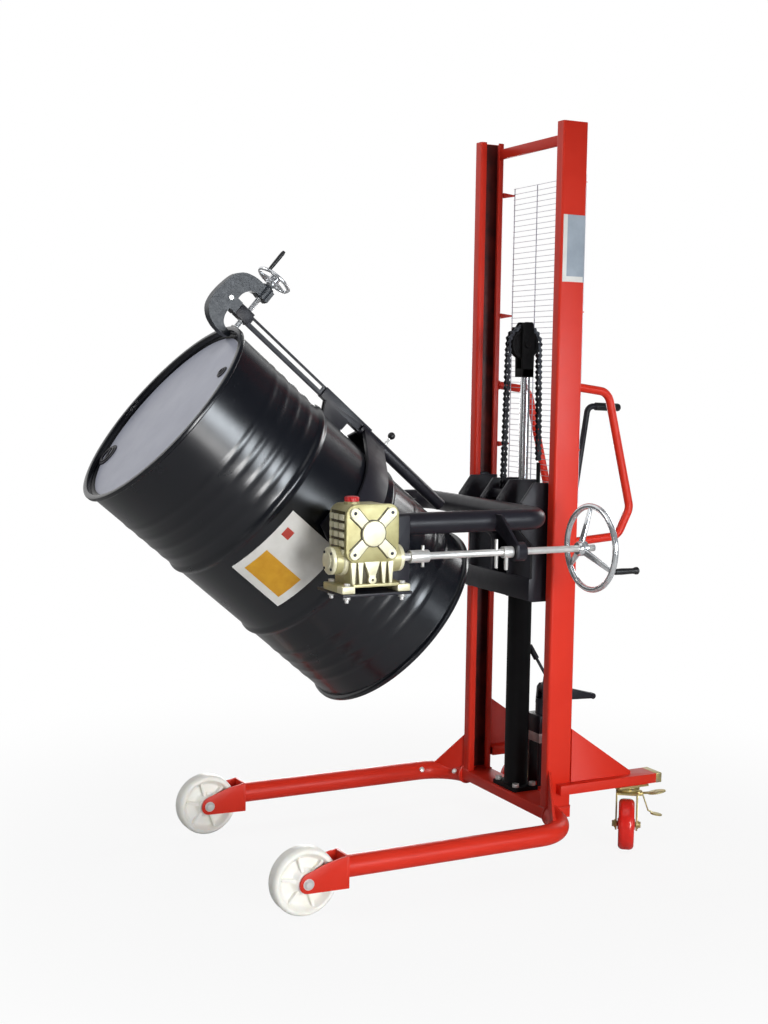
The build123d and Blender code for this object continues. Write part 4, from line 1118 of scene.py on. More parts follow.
@dataclass
class FrontWheel:
    """Cast nylon wheel with a thin web and radial ribs."""

    side: Side
    x: float = 845.0
    y: float = 358.0
    radius: float = 88.0
    width: float = 50.0
    ribs: int = 6
    rib_reach: Pair = (26.0, 68.0)
    rib_out: float = 13.0

    def build(self) -> None:
        """Turn the wheel and set its ribs."""
        half = self.width / 2
        centre = (self.x, self.side.value * self.y, self.radius)
        profile = mirrored([
            (10.1, -half - 2), (26, -half - 2), (30, -half + 8), (36, -7), (62, -7), (70, -half + 6),
            (74, -half), (82, -half), (88, -half + 9)])
        work = Workpiece()
        rounds = {1: 2, 2: 3, 3: 4, 4: 4, 5: 2, 6: 2, 7: 4, 8: 5}
        rounds |= {len(profile) - 1 - index: radius for index, radius in rounds.items()}
        work.turn(profile, centre, ACROSS, 72, loop=True, rounds=rounds)
        for turn in range(self.ribs):
            angle = radians(360 / self.ribs * turn + 12)
            way = Vector((cos(angle), 0, sin(angle)))
            for face in (1, -1):
                out = Vector((0, face * self.rib_out, 0))
                root, tip = (Vector(centre) + way * reach + out for reach in self.rib_reach)
                work.arm(root, tip, ACROSS, (16, 16), (9, 7), 1.5)
        word = self.side.word
        work.stand_for(f"{word}_front_wheel", f"{word}_nylon_wheel", NYLON)


@dataclass
class Castor:
    """Plated swivel castor with a poured tyre, a ball race and a foot brake with two paddles."""

    side: Side
    x: float = -243.0
    y: float = 232.0
    trail: float = 55.0
    radius: float = 72.5
    half: float = 22.5
    brake_x: float = -11.0
    hinge: Pair = (40.0, 148.0)
    turns: dict[Side, float] = field(default_factory=lambda: {Side.LEFT: 53.6, Side.RIGHT: -24.0})

    @property
    def place(self) -> Matrix:
        """Where the castor's own frame stands, turned as it rests."""
        spot = Matrix.Translation((self.x, self.side.value * self.y, 0))
        return spot @ Matrix.Rotation(radians(self.turns[self.side]), 4, "Z")

    def build(self) -> None:
        """Make the wheel, the fork with its race and nuts, and the brake."""
        self.wheel()
        self.fork()
        self.brake()

    def wheel(self) -> None:
        """Poured tyre on a dished core."""
        word, half = self.side.word, self.half
        centre = (self.trail, 0.0, self.radius)
        flank = [(50, -19), (54, -half + 0.4), (62, -half), (67, -20.7), (70.6, -16.8), (72.5, -10),
                 (72.5, 0)]
        tyre = Workpiece().turn(mirrored(flank), centre, ACROSS, 72, loop=True).move(self.place)
        tyre.stand_for(f"{word}_castor_wheel", f"{word}_castor_tyre", POLYURETHANE)
        dish = [(8.1, -25), (15, -25), (18, -21), (22, -9), (50.5, -9)]
        core = Workpiece().turn(mirrored(dish), centre, ACROSS, 48, loop=True).move(self.place)
        core.piece(f"{word}_castor_core", RED_COAT, f"{word}_castor_roll")

    def fork(self) -> None:
        """Pressed fork with the swivel's ball race and the nuts on the axle."""
        word = self.side.word
        x, z = self.trail, self.radius
        race = [(9, 160), (33, 160), (36, 162.5), (36, 166), (33.5, 168.2), (31, 168.4), (31, 171.6),
                (9, 171.6)]
        extras = Workpiece().turn(race, (0, 0, 0), UP, 48, loop=True)
        for way in (1, -1):
            extras.bar((x, way * 32, z), (x, way * 35, z), 12.0, 0.6)
            extras.bar((x, way * 34.5, z), (x, way * 41, z), 9.5, 0.8, sides=6)
        extras.move(self.place)
        extras.copy_of(f"{word}_castor_yoke", 1.2)
        extras.stand_for(f"{word}_castor_yoke", f"{word}_castor_fork", YELLOW_ZINC)

    def brake(self) -> None:
        """Foot brake: a broad upper paddle and a small lower one on a bent strip, about one hinge."""
        word, x, (y, z) = self.side.word, self.brake_x, self.hinge
        strap = Workpiece()
        strap.bar((x - 5, y, z), (x + 5, y, z), 5.5, 0.8)
        strap.arm((x, y + 2, z), (x, 70, 151), AHEAD, (10, 16), (5, 4), 1.0)
        strap.arm((x, y + 6, z - 5), (x, 62, 98), AHEAD, (9, 8), (4, 3.5), 1.0)
        strap.arm((x, 60, 99), (x, 78, 90), AHEAD, (8, 12), (3.5, 3.5), 1.0)
        strap.move(self.place)
        strap.stand_for(f"{word}_brake_pedal", f"{word}_brake_strap", YELLOW_ZINC)
        disc = mirrored([(0, -2.4), (0.94, -2.4), (1, -1.6)])
        paddles = (("upper", (x, 85, 154), (19, 27), 12.0), ("lower", (x, 86, 88), (11, 17), -8.0))
        for name, spot, reach, tilt in paddles:
            paddle = Workpiece().turn(disc, (0, 0, 0), UP, 40)
            paddle.move(Matrix.Diagonal((reach[0], reach[1], 1.0, 1.0)))
            paddle.move(self.place @ Matrix.Translation(spot) @ Matrix.Rotation(radians(tilt), 4, "X"))
            paddle.piece(f"{word}_{name}_brake_paddle", YELLOW_ZINC, f"{word}_brake", "yellow_zinc")


@dataclass
class Lift:
    """Cylinder, ram, pulley and the roller chain over it."""

    pulley: Triple = (3.0, 0.0, 1450.0)
    pulley_radius: float = 44.5
    chain_radius: float = 52.0
    anchor_radius: float = 60.0
    cheek_y: Pair = (13.0, 21.0)
    pitch: float = 15.9
    plate_half: float = 7.2
    plate_end: float = 5.6
    plate_thick: float = 1.6
    pin_half: float = 9.6
    pin_radius: float = 3.4
    inner_spread: float = 5.9
    outer_spread: float = 8.2
    front_foot: float = 1030.0
    rear_foot: float = 1105.0

    def build(self) -> None:
        """Dress the cylinder, turn the pulley and lay the chain."""
        dress(["lift_cylinder", "cylinder_gland"], 1.2, FLAT_BLACK)
        paint(["ram_rod"])
        self.pipe()
        self.head()
        self.wheel()
        self.chain()

    def wheel(self) -> None:
        """Grooved pulley that carries the chain."""
        rim = self.pulley_radius
        flank = [(10.1, -11), (18, -11), (20, -9), (32, -8), (36, -11), (rim - 1, -11), (rim, -10), (rim, -7),
                 (rim - 3, -5)]
        work = Workpiece().turn(mirrored(flank), self.pulley, ACROSS, 64, loop=True)
        work.stand_for("chain_pulley", "grooved_pulley", FLAT_BLACK)

    def pipe(self) -> None:
        """Return pipe that leaves the cylinder through a long union and slants down to the pump."""
        work = Workpiece()
        work.bar((-42, 0, 560), (-62, 10, 520), 8.5, 1.5, 24)
        work.bent_bar([(-52, 5, 540), (-96, 30, 452), (-96, 30, 349)], 14.0, 4.5)
        work.stand_for("return_pipe", "slanted_pipe", BLACK_COAT)

    def head(self) -> None:
        """Rod head: a solid foot on the ram, two narrow cheeks beside the pulley and its pin."""
        cheek = [(-20, 1355), (18, 1355), (20, 1470), (15, 1514), (-17, 1514), (-22, 1470)]
        rounds = {2: 12.0, 3: 7.0, 4: 7.0, 5: 12.0}
        work, (inner, outer) = Workpiece(), self.cheek_y
        for level in (inner, -outer):
            work.plate(cheek, side_plane(level), outer - inner, 1.5, rounds, 5)
        work.block((-20, -outer, 1355), (18, outer, 1380), 2.0)
        work.turn(mirrored([(0, -25), (9, -25), (10, -24)]), self.pulley, ACROSS, 32)
        work.stand_for("pulley_block", "ram_head", FLAT_BLACK)

    def link(self, work: Workpiece, place: Matrix, spread: float) -> None:
        """One pitch of chain: a plate on each side and a roller.

        Args:
            work: Workpiece that gets the link.
            place: Frame of the link, Z along the chain and Y across it.
            spread: Distance of the plates from the chain's middle.
        """
        pin, half, reach = self.pitch / 2, self.plate_half, self.pin_half
        end, waist = pin + self.plate_end, half * 0.45
        flank = [(half * 0.5, -end), (half, -pin), (waist, 0), (half, pin), (half * 0.5, end)]
        outline = flank + [(-u, v) for u, v in reversed(flank)]
        for way in (1, -1):
            flat = place @ side_plane(way * spread - self.plate_thick / 2)
            work.plate(outline, flat, self.plate_thick, 0.0)
        work.bar(place @ Vector((0, -reach, pin)), place @ Vector((0, reach, pin)), self.pin_radius, 0.0, 8)

    def run(self, way: int, low: float) -> Workpiece:
        """Run of chain from the pulley's flank down to its anchor, which stands a little further out.

        Args:
            way: One for the front run and minus one for the rear run.
            low: Lowest level of the chain.

        Returns:
            The run.
        """
        work = Workpiece()
        x, _, z = self.pulley
        fall, out = z - low, self.anchor_radius - self.chain_radius
        lean = Matrix.Rotation(-way * atan2(out, fall), 4, "Y")
        for step in range(int(fall // self.pitch)):
            down = self.pitch * (step + 0.5)
            aside = self.chain_radius + out * down / fall
            place = Matrix.Translation((x + way * aside, 0, z - down)) @ lean
            self.link(work, place, self.spread(step))
        return work

    def spread(self, step: int) -> float:
        """Distance of a link's plates from the chain's middle; inner and outer links take turns."""
        return self.outer_spread if step % 2 else self.inner_spread

    def chain(self) -> None:
        """Both runs of the chain and the wrap over the pulley."""
        wrap = Workpiece()
        count = round(pi * self.chain_radius / self.pitch)
        for step in range(count):
            turn = Matrix.Rotation(-pi * (step + 0.5) / count, 4, "Y")
            place = Matrix.Translation(self.pulley) @ turn @ Matrix.Translation((self.chain_radius, 0, 0))
            self.link(wrap, place, self.spread(step))
        wrap.stand_for("chain_wrap", "chain_over_pulley", OILED_STEEL)
        front = self.run(1, self.front_foot).piece(
            "chain_to_carriage", OILED_STEEL, "", "dark_steel", ["chain_front"])
        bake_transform(front)
        rear = self.run(-1, self.rear_foot).piece(
            "chain_to_anchor", OILED_STEEL, "", "dark_steel", ["chain_rear"])
        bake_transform(rear)


@dataclass
class Carriage:
    """Black carriage plates, guide rollers and the tilting yoke."""

    yoke_x: float = 137.0
    yoke_y: float = 335.0
    yoke_z: float = 977.0
    yoke_end: float = 680.0
    yoke_radius: float = 28.5
    yoke_bend: float = 65.0

    def build(self) -> None:
        """Dress the carriage and bend the yoke."""
        dress(["carriage_frame", "far_pivot_bearing", "gearbox_bracket", "shaft_bearing"], 1.2)
        dress(["roller_axles", "upper_rollers", "lower_rollers"], 0.8)
        work = Workpiece()
        route = [(self.yoke_end, self.yoke_y, self.yoke_z), (self.yoke_x, self.yoke_y, self.yoke_z),
                 (self.yoke_x, -self.yoke_y, self.yoke_z), (self.yoke_end, -self.yoke_y, self.yoke_z)]
        work.bent_bar(route, self.yoke_bend, self.yoke_radius, sides=40, steps=16)
        work.stand_for("yoke_tube", "tilting_yoke", BLACK_COAT)


@dataclass
class Gearbox:
    """Worm reducer in gold enamel: square wheel chamber, crossed ribs, finned front and ribbed skirt."""

    x: float = 730.0
    z: float = 975.0
    half: float = 71.0
    corner: float = 28.0
    inner: float = 390.0
    outer: float = 486.0
    worm: Triple = (0.0, 445.0, 907.0)
    foot_y: float = 502.0
    foot_z: float = 831.0
    feet: tuple[Pair, Pair] = ((630.0, 664.0), (779.0, 813.0))
    foot_bolts: Pair = (402.0, 490.0)
    bolt: float = 50.0
    screw_ring: float = 27.5
    filler: Triple = (762.0, 440.0, 0.0)
    cap_ridges: int = 12
    ridge_ring: float = 16.6
    skirt_low: float = 853.0
    skirt_ribs: tuple[float, ...] = (680.0, 699.0, 761.0, 780.0)
    keyhole_z: float = 862.0
    fins: tuple[float, ...] = (929.0, 950.0, 971.0, 992.0, 1013.0)

    def build(self) -> None:
        """Make case, cover and fasteners."""
        self.case()
        self.cover()
        self.fasteners()
        paint(["worm_wheel", "worm_shaft", "trunnion_shaft"])

    def square(self, half: float) -> list[Pair]:
        """Square outline about the output shaft."""
        return [(self.x - half, self.z - half), (self.x + half, self.z - half),
                (self.x + half, self.z + half), (self.x - half, self.z + half)]

    def case(self) -> None:
        """Wheel chamber over the worm tunnel, with fins, skirt ribs and long feet."""
        work = Workpiece()
        depth = self.outer - self.inner
        work.plate(self.square(self.half - 3), side_plane(self.inner), depth, 3.0, self.corner - 2, 8)
        work.block((675, self.inner + 6, 845), (785, self.outer, 930), 3.0)
        tunnel = [(0, 640), (30, 640), (34, 643), (34, 815), (31, 818), (0, 818)]
        work.turn(tunnel, self.worm, AHEAD, 48)
        work.block((660, self.inner + 4, 845), (783, 498, self.skirt_low), 1.5)
        for low, high in self.feet:
            work.block((low, self.inner, self.foot_z), (high, self.foot_y, self.foot_z + 18), 2.5)
        boss = [(0, 1030), (22, 1030), (19, 1040), (19, 1048), (17.5, 1049), (0, 1049)]
        work.turn(boss, self.filler, UP, 32)
        work.stand_for("gearbox_housing", "reducer_case", GOLD_CASE)
        self.hollows()
        self.ribs()

    def hollows(self) -> None:
        """Painted shade: dark sheets between the skirt ribs, behind the fins and in the keyhole's eye."""
        work = Workpiece()
        work.block((677, self.outer - 0.5, self.skirt_low), (783, self.outer + 0.6, 905), 0.4)
        work.block((797, self.inner + 12, 922), (798.2, self.outer - 8, 1028), 0.4)
        eye, z = self.outer + 10, self.keyhole_z
        work.bar((self.x, eye, z), (self.x, eye + 0.8, z), 3.4, 0.2, 20)
        # These dark sheets are painted shade in the casting's gaps.
        work.piece("case_hollows", GOLD_PAINTED_SHADOW, "carriage", "gold_case")

    def ribs(self) -> None:
        """Skirt ribs under the cover, the keyhole-shaped middle rib and the fins on the front face."""
        work = Workpiece()
        middle, face, low = self.x, self.outer, self.skirt_low
        for x in self.skirt_ribs:
            work.arm((x, face + 3.5, 906), (x, face + 4, low), ACROSS, (8, 11), (15, 7), 1.2)
        work.arm((middle, face + 3.5, 907), (middle, face + 4, 874), AHEAD, (44, 20), (10, 11), 2.0)
        work.arm((middle, face + 4, 876), (middle, face + 4, 858), AHEAD, (20, 16), (11, 11), 2.0)
        work.bar((middle, face - 1, self.keyhole_z), (middle, face + 10.4, self.keyhole_z), 11.0, 2.0)
        for z in self.fins:
            for low, high in ((self.inner + 10, 418), (424, 448), (454, self.outer - 6)):
                work.block((795, low, z - 7), (803, high, z + 7), 2.0)
        for low, high in self.feet:
            foot, top = self.foot_z + 0.5, self.foot_z + 18.3
            work.block((low - 0.3, 470, foot), (high + 0.3, self.foot_y + 0.3, top), 2.5)
        collar = [(33, 784), (37, 786), (37, 796), (33, 799)]
        work.turn(collar, self.worm, AHEAD, 48, loop=True)
        # Skirt ribs, fins, feet and collar take the paler gold as painted light.
        work.piece("case_ribs", GOLD_PAINTED_LIGHT, "carriage", "gold_case")

    def cover(self) -> None:
        """Output cover with raised crossed ribs round a flat boss, and both worm bearing covers."""
        panel = Workpiece()
        panel.plate(self.square(self.half), side_plane(self.outer - 1), 9.0, 2.5, self.corner, 8)
        # The flat cover panels take the darker gold as painted shade.
        panel.stand_for("gearbox_cover", "cover_panels", GOLD_PAINTED_SHADE)
        # Dark strips just under and a little wider than each rib, and a dark ring round the boss, paint a
        # shaded outline.
        ribs, shade_lines = Workpiece(), Workpiece()
        reach, shaft, bolt = self.half * 0.98, (self.x, self.outer, self.z), self.bolt
        middle = Vector(shaft) + Vector((0, 10, 0))
        low = middle - Vector((0, 2, 0))
        for turn in (45, 135, 225, 315):
            way = Vector((cos(radians(turn)), 0, sin(radians(turn))))
            side = way.cross(Vector(ACROSS))
            ribs.arm(middle + way * 10, middle + way * reach, side, (22, 28), (6, 6), 1.0)
            shade_lines.arm(low + way * 10, low + way * (reach + 3), side, (28, 34), (1.6, 1.6), 0.2)
            corner = middle + Vector((bolt if way.x > 0 else -bolt, 0, bolt if way.z > 0 else -bolt))
            ribs.turn([(0, -11), (13, -11), (13, 2.4), (11.5, 3.9), (0, 3.9)], corner, ACROSS, 28)
        ribs.turn([(0, 0), (31, 0), (31, 14.5), (29.5, 16.4), (27, 17), (0, 17)], shaft, ACROSS, 56)
        shade_lines.turn([(30, 5), (33.4, 5), (33.4, 13.6), (30, 13.6)], shaft, ACROSS, 56, loop=True)
        shade_lines.piece("cover_grooves", GOLD_PAINTED_SHADOW, "carriage", "gold_case")
        front = [(0, 817), (34, 817), (34, 824), (32, 826), (23, 826), (21, 827), (20, 829), (17, 830),
                 (0, 829)]
        ribs.turn(front, self.worm, AHEAD, 48)
        rear = [(10.1, 632), (31, 632), (33, 634), (33, 642), (10.1, 642)]
        ribs.turn(rear, self.worm, AHEAD, 48, loop=True)
        # Crossed ribs, bosses and bearing covers take the paler gold as painted light.
        ribs.piece("cover_ribs", GOLD_PAINTED_LIGHT, "carriage", "gold_case")

    def fasteners(self) -> None:
        """Dark cover screws, bright foot bolts and the red filler cap."""
        screws = Workpiece()
        for dx in (-self.bolt, self.bolt):
            for dz in (-self.bolt, self.bolt):
                x, z = self.x + dx, self.z + dz
                screws.bar((x, self.outer + 13, z), (x, self.outer + 15.3, z), 4.4, 0.8, sides=12)
        for turn in range(4):
            angle = radians(90 * turn + 45)
            y, z = self.worm[1] + self.screw_ring * cos(angle), self.worm[2] + self.screw_ring * sin(angle)
            screws.bar((825.5, y, z), (828.5, y, z), 3.4, 0.6, sides=12)
        screws.piece("cover_screws", OILED_STEEL, "carriage", "dark_steel", ["gearbox_bolts"])
        bolts, z = Workpiece(), self.foot_z
        for low, high in self.feet:
            x = (low + high) / 2
            for y in self.foot_bolts:
                bolts.bar((x, y, z + 17.6), (x, y, z + 25), 8.0, 1.0, sides=6)
                bolts.bar((x, y, z - 15), (x, y, z - 6.6), 9.2, 1.0, sides=6)
                bolts.bar((x, y, z - 23), (x, y, z - 14), 5.0, 1.0)
        bolts.piece("reducer_foot_bolts", TURNED_STEEL, "carriage", "bright_steel")
        cap = Workpiece()
        crown = [(0, 1048), (17, 1048), (17, 1058), (15.5, 1061), (12, 1062), (0, 1062)]
        cap.turn(crown, self.filler, UP, 32)
        for turn in range(self.cap_ridges):
            angle = 2 * pi * turn / self.cap_ridges
            x = self.filler[0] + self.ridge_ring * cos(angle)
            y = self.filler[1] + self.ridge_ring * sin(angle)
            cap.bar((x, y, 1049), (x, y, 1059.5), 1.6, 0.4, 8)
        cap.piece("filler_cap", RED_CAP, "carriage")


@dataclass
class Handwheel:
    """Dished chrome handwheel with three flat spokes, a turning grip and its long shaft."""

    x: float = 60.0
    y: float = 445.0
    z: float = 907.0
    radius: float = 111.0
    tube: float = 8.0
    spokes: Triple = (92.0, -28.0, 212.0)
    grip_angle: float = -28.0

    def around(self, angle: float, radius: float, x: float) -> Vector:
        """Point on a circle about the wheel's axis, at an angle in degrees from the machine's left."""
        return Vector((x, self.y + radius * cos(radians(angle)), self.z + radius * sin(radians(angle))))

    def build(self) -> None:
        """Turn the rim and hub, set the spokes and make the grip."""
        dress(["handwheel_shaft"], 1.0)
        work = Workpiece()
        work.turn(circle_profile(self.radius, self.tube, self.x), (0, self.y, self.z), AHEAD, 96, loop=True)
        hub = [(9, 76), (16, 76), (20, 79), (20, 97), (16, 104), (9, 104)]
        work.turn(hub, (0, self.y, self.z), AHEAD, 48, loop=True)
        for angle in self.spokes:
            root, tip = self.around(angle, 15, 89), self.around(angle, self.radius - 4, self.x + 1)
            side = self.around(angle + 90, 1, 0) - Vector((0, self.y, self.z))
            work.arm(root, tip, side, (20, 12), (9, 8), 3.0)
        foot = self.around(self.grip_angle, self.radius, self.x - 2)
        work.bar(foot, self.around(self.grip_angle, self.radius, -24), 4.0, 1.0, 24)
        work.stand_for("handwheel", "dished_handwheel", CHROME)
        grip = Workpiece()
        outline = [(4.1, 51), (7, 51), (8, 50), (8.6, 30), (8, 10), (7.6, -6), (8.6, -11), (10, -15),
                   (10, -20), (8.5, -22), (4.1, -22)]
        grip.turn(outline, self.around(self.grip_angle, self.radius, 0), AHEAD, 32, loop=True)
        grip.stand_for("handwheel_grip", "turning_grip", GRIP_PLASTIC)


@dataclass
class Holder:
    """Hoop, post and slotted bar, with the cast rim clamp, its screw and the locking pin."""

    drum_x: float = 27.0
    clamp_thick: float = 34.0
    screw_z: float = 450.0
    screw_radius: float = 7.5
    thread_from: float = 304.0
    thread_depth: float = 0.9
    half_pitch: float = 2.0
    half_turns: int = 70
    wheel_at: float = 466.0
    wheel_radius: float = 47.0
    wheel_spokes: Triple = (15.0, 135.0, 255.0)
    peg_angle: float = 50.0
    lock_z: float = -91.0

    def build(self) -> None:
        """Dress the steelwork and make the clamp and the pin."""
        dress(["hoop_band", "post_sleeve", "slotted_bar"], 1.0)
        self.casting()
        self.screw()
        self.pin()

    def casting(self) -> None:
        """Rounded hook over the drum rim, with the screw boss and a bright bolt through it."""
        outer = [(262, 452), (256, 490), (272, 538), (306, 556), (366, 555), (418, 540), (434, 494),
                 (434, 430)]
        inner = [(402, 430), (402, 478), (378, 498), (357, 498), (357, 480), (322, 480), (322, 499),
                 (304, 501), (278, 486), (275, 452)]
        outline = [(self.drum_x - back, z) for back, z in outer + inner]
        work = Workpiece()
        rounds = {0: 6.0, 1: 20.0, 2: 22.0, 3: 24.0, 4: 30.0, 5: 24.0, 6: 14.0, 9: 12.0, 10: 12.0, 15: 14.0,
                  16: 12.0, 17: 6.0}
        work.plate(outline, side_plane(-self.clamp_thick / 2), self.clamp_thick, 5.0, rounds, 5)
        boss = [(7.6, 401), (20, 401), (20, 436), (17, 440), (7.6, 440)]
        work.turn(boss, (self.drum_x, 0, self.screw_z), BACK, 40, loop=True).move(HOLDER)
        work.stand_for("clamp_frame", "rim_clamp_casting", GREY_CASTING)
        bolt = Workpiece()
        spot = (self.drum_x - 345, 0, 514)
        head = [(0, 12), (7, 12), (7, 18.5), (6, 20), (3.4, 20), (3, 18), (0, 18)]
        bolt.turn(head, spot, ACROSS, 32).move(HOLDER)
        bolt.piece("clamp_bolt", TURNED_STEEL, "height_bar", "bright_steel")

    def screw(self) -> None:
        """Threaded spindle with its small spoked wheel, the handle on its rim and the pressure pad."""
        origin = (self.drum_x, 0, self.screw_z)
        work = Workpiece()
        thread = [
            (self.screw_radius - self.thread_depth * (step % 2), self.thread_from + self.half_pitch * step)
            for step in range(self.half_turns)]
        tip = [(0, 299.6), (6, 299.6), (6.6, 302)]
        hub = [(13, 446), (15, 449), (15, 474), (12, 478), (0, 478)]
        work.turn(tip + thread + hub, origin, BACK, 24)
        work.turn(circle_profile(self.wheel_radius, 5.0, self.wheel_at), origin, BACK, 64, loop=True)
        middle = Vector((self.drum_x - self.wheel_at + 1, 0, self.screw_z))
        for turn in self.wheel_spokes:
            way = Vector((0, cos(radians(turn)), sin(radians(turn))))
            root, end = middle + way * 10, middle + way * (self.wheel_radius - 3)
            work.arm(root, end, way.cross(Vector(AHEAD)), (11, 8), (6, 5), 1.5)
        work.move(HOLDER)
        work.stand_for("clamp_screw", "clamp_spindle", CHROME)
        peg = Workpiece()
        angle = radians(self.peg_angle)
        y, z = self.wheel_radius * cos(angle), self.wheel_radius * sin(angle)
        outline = [(0, 470), (4.5, 470), (5.2, 480), (5.5, 505), (5.5, 526), (4, 532.5), (0, 534)]
        peg.turn(outline, (self.drum_x, y, self.screw_z + z), BACK, 24).move(HOLDER)
        peg.stand_for("clamp_handle", "clamp_peg", GRIP_PLASTIC)
        disc = [(0, 293.3), (10.5, 293.3), (12, 294.8), (12, 297.5), (9, 299.4), (0, 299.4)]
        pad = Workpiece().turn(disc, origin, BACK, 32).move(HOLDER)
        pad.stand_for("clamp_pad", "pressure_pad", TURNED_STEEL)

    def pin(self) -> None:
        """Bright locking pin with a black ball."""
        origin = (self.drum_x, 0, self.lock_z)
        ball = Workpiece().turn(ball_profile(10.5, 382), origin, BACK, 32).move(HOLDER)
        ball.stand_for("lock_pin", "lock_ball", GRIP_PLASTIC)
        outline = [(0, 347), (4, 347), (4.8, 349), (4.8, 358), (3.6, 360), (3.6, 373), (0, 373)]
        stem = Workpiece().turn(outline, origin, BACK, 24).move(HOLDER)
        stem.piece("lock_stem", TURNED_STEEL, "locking_pin", "bright_steel")


@dataclass
class Drum:
    """Steel drum with rolled chimes, two hoops, four beads at each end, a grey top and a plain label."""

    x: float = 27.0
    radius: float = 283.0
    chime_radius: float = 292.5
    foot: float = -421.5
    rim: float = 463.5
    top: float = 446.5
    hoops: Pair = (-114.0, 156.0)
    # Half the height of a swell and how far it stands out
    hoop_swell: Pair = (18.0, 6.0)
    bead_swell: Pair = (15.0, 1.3)
    beads: tuple[float, ...] = (-330.0, -291.0, -252.0, -213.0, 206.0, 247.0, 288.0, 329.0)
    large_bung: Triple = (149.0, -190.0, 34.0)
    small_bung: Triple = (-147.0, 159.0, 17.0)
    label_levels: Pair = (-51.0, 116.0)
    label_arc: Pair = (41.0, 86.0)

    @property
    def place(self) -> Matrix:
        """The drum's own frame, with its axis along Z."""
        return HOLDER @ Matrix.Translation((self.x, 0, 0))

    def build(self) -> None:
        """Spin the shell, set the top with its plugs and stick the label on."""
        self.shell()
        self.lid()
        self.bungs()
        self.label()

    def wall(self) -> list[Pair]:
        """Outer wall from bottom to top, with a smooth swell for each hoop and bead.

        Returns:
            Radius and level, point by point.
        """
        swells = [(level, *self.hoop_swell) for level in self.hoops]
        swells += [(level, *self.bead_swell) for level in self.beads]
        points = []
        for level, half, rise in sorted(swells):
            for step in range(-5, 6):
                swell = rise * (0.5 + 0.5 * cos(pi * step / 5))
                points.append((self.radius + swell, level + half * step / 5))
        return points

    def chime(self, level: float, way: int) -> list[Pair]:
        """Rolled seam at an end of the drum, from the wall outwards and back to the inside.

        Args:
            level: Level of the drum's end.
            way: One at the top and minus one at the bottom.

        Returns:
            Radius and level, point by point.
        """
        big, inner = self.chime_radius, self.radius - 5
        shape = [(self.radius, 15), (big - 6, 12.6), (big - 1.5, 11.8), (big, 10), (big, 3), (big - 1.1, 0.9),
                 (big - 3.2, 0), (inner + 3, 0), (inner + 1, 0.9), (inner, 3), (inner, 17)]
        return [(radius, level - way * drop) for radius, drop in shape]

    def shell(self) -> None:
        """Wall, both chimes and the bottom as one closed skin."""
        skin = self.radius - 1.5
        profile = [(0, self.foot + 14), (self.radius - 6, self.foot + 14)] + self.chime(self.foot, -1)[::-1]
        profile += self.wall() + self.chime(self.rim, 1)
        profile += [(skin, self.top - 2), (skin, self.foot + 18), (0, self.foot + 16)]
        work = Workpiece().turn(profile, (0, 0, 0), UP, 160).move(self.place)
        work.stand_for("drum_shell", "drum_skin", DRUM_ENAMEL)

    def lid(self) -> None:
        """Grey top set down inside the chime, with a black groove round it."""
        top, edge = self.top, self.radius - 5.3
        sheet = [(0, top), (258, top), (264, top - 0.8), (266, top - 1.6), (0, top - 1.6)]
        disc = Workpiece().turn(sheet, (0, 0, 0), UP, 128).move(self.place)
        # The top's grey is lightened to paint in the room it mirrors.
        disc.stand_for("drum_lid", "drum_top", LID_ENAMEL_AND_REFLECTION)
        groove = [(264, top - 2.4), (265.5, top - 0.9), (270, top - 1.8), (274, top - 0.5), (edge, top + 0.4),
                  (edge, top - 2.4)]
        ring = Workpiece().turn(groove, (0, 0, 0), UP, 128, loop=True).move(self.place)
        ring.piece("drum_top_groove", DRUM_ENAMEL, "holder", "drum_enamel")

    def bungs(self) -> None:
        """Large plug with a webbed socket and a small vent plug."""
        top = self.top
        plugs = Workpiece()
        x, y, radius = self.large_bung
        plugs.turn([(0, top - 1), (radius, top - 1), (radius, top + 2), (radius - 2, top + 3.5),
                    (28, top + 3.8), (26.5, top + 6), (21, top + 6), (20, top + 5), (20, top + 1),
                    (0, top + 1)], (x, y, 0), UP, 48)
        web = Matrix.Translation((x, y, 0)) @ Matrix.Rotation(radians(25), 4, "Z")
        plugs.block((-20.5, -4, top), (20.5, 4, top + 5), 1.2, web)
        x, y, radius = self.small_bung
        plugs.turn([(0, top - 1), (radius, top - 1), (radius, top + 2.5), (radius - 2, top + 3.6),
                    (11, top + 4), (10, top + 6), (6, top + 6), (5.5, top + 2), (0, top + 2)],
                   (x, y, 0), UP, 36)
        plugs.move(self.place)
        plugs.stand_for("drum_bungs", "drum_plugs", BLACK_COAT)
        x, y, _ = self.large_bung
        sheet = [(0, top + 1.6), (19.6, top + 1.6), (19.6, top + 0.8), (0, top + 0.8)]
        socket = Workpiece().turn(sheet, (x, y, 0), UP, 36).move(self.place)
        socket.piece("drum_plug_socket", LID_ENAMEL_AND_REFLECTION, "holder", "lid_enamel")

    def label(self) -> None:
        """Plain paper label with a yellow band and a small red patch."""
        low, high = self.label_levels
        first, last = self.label_arc
        sheets = (
            ("drum_label", LABEL_PAPER, 0.5, self.label_arc, self.label_levels),
            ("label_band", LABEL_YELLOW, 0.9, (first + 5, first + 21), (low + 22, high - 22)),
            ("label_patch", LABEL_RED, 0.9, (last - 13, last - 8), (high - 42, high - 18)))
        for name, finish, rise, arc, levels in sheets:
            Workpiece().wrap(self.radius + rise, arc, levels, 0.3, self.place).piece(name, finish, "holder")


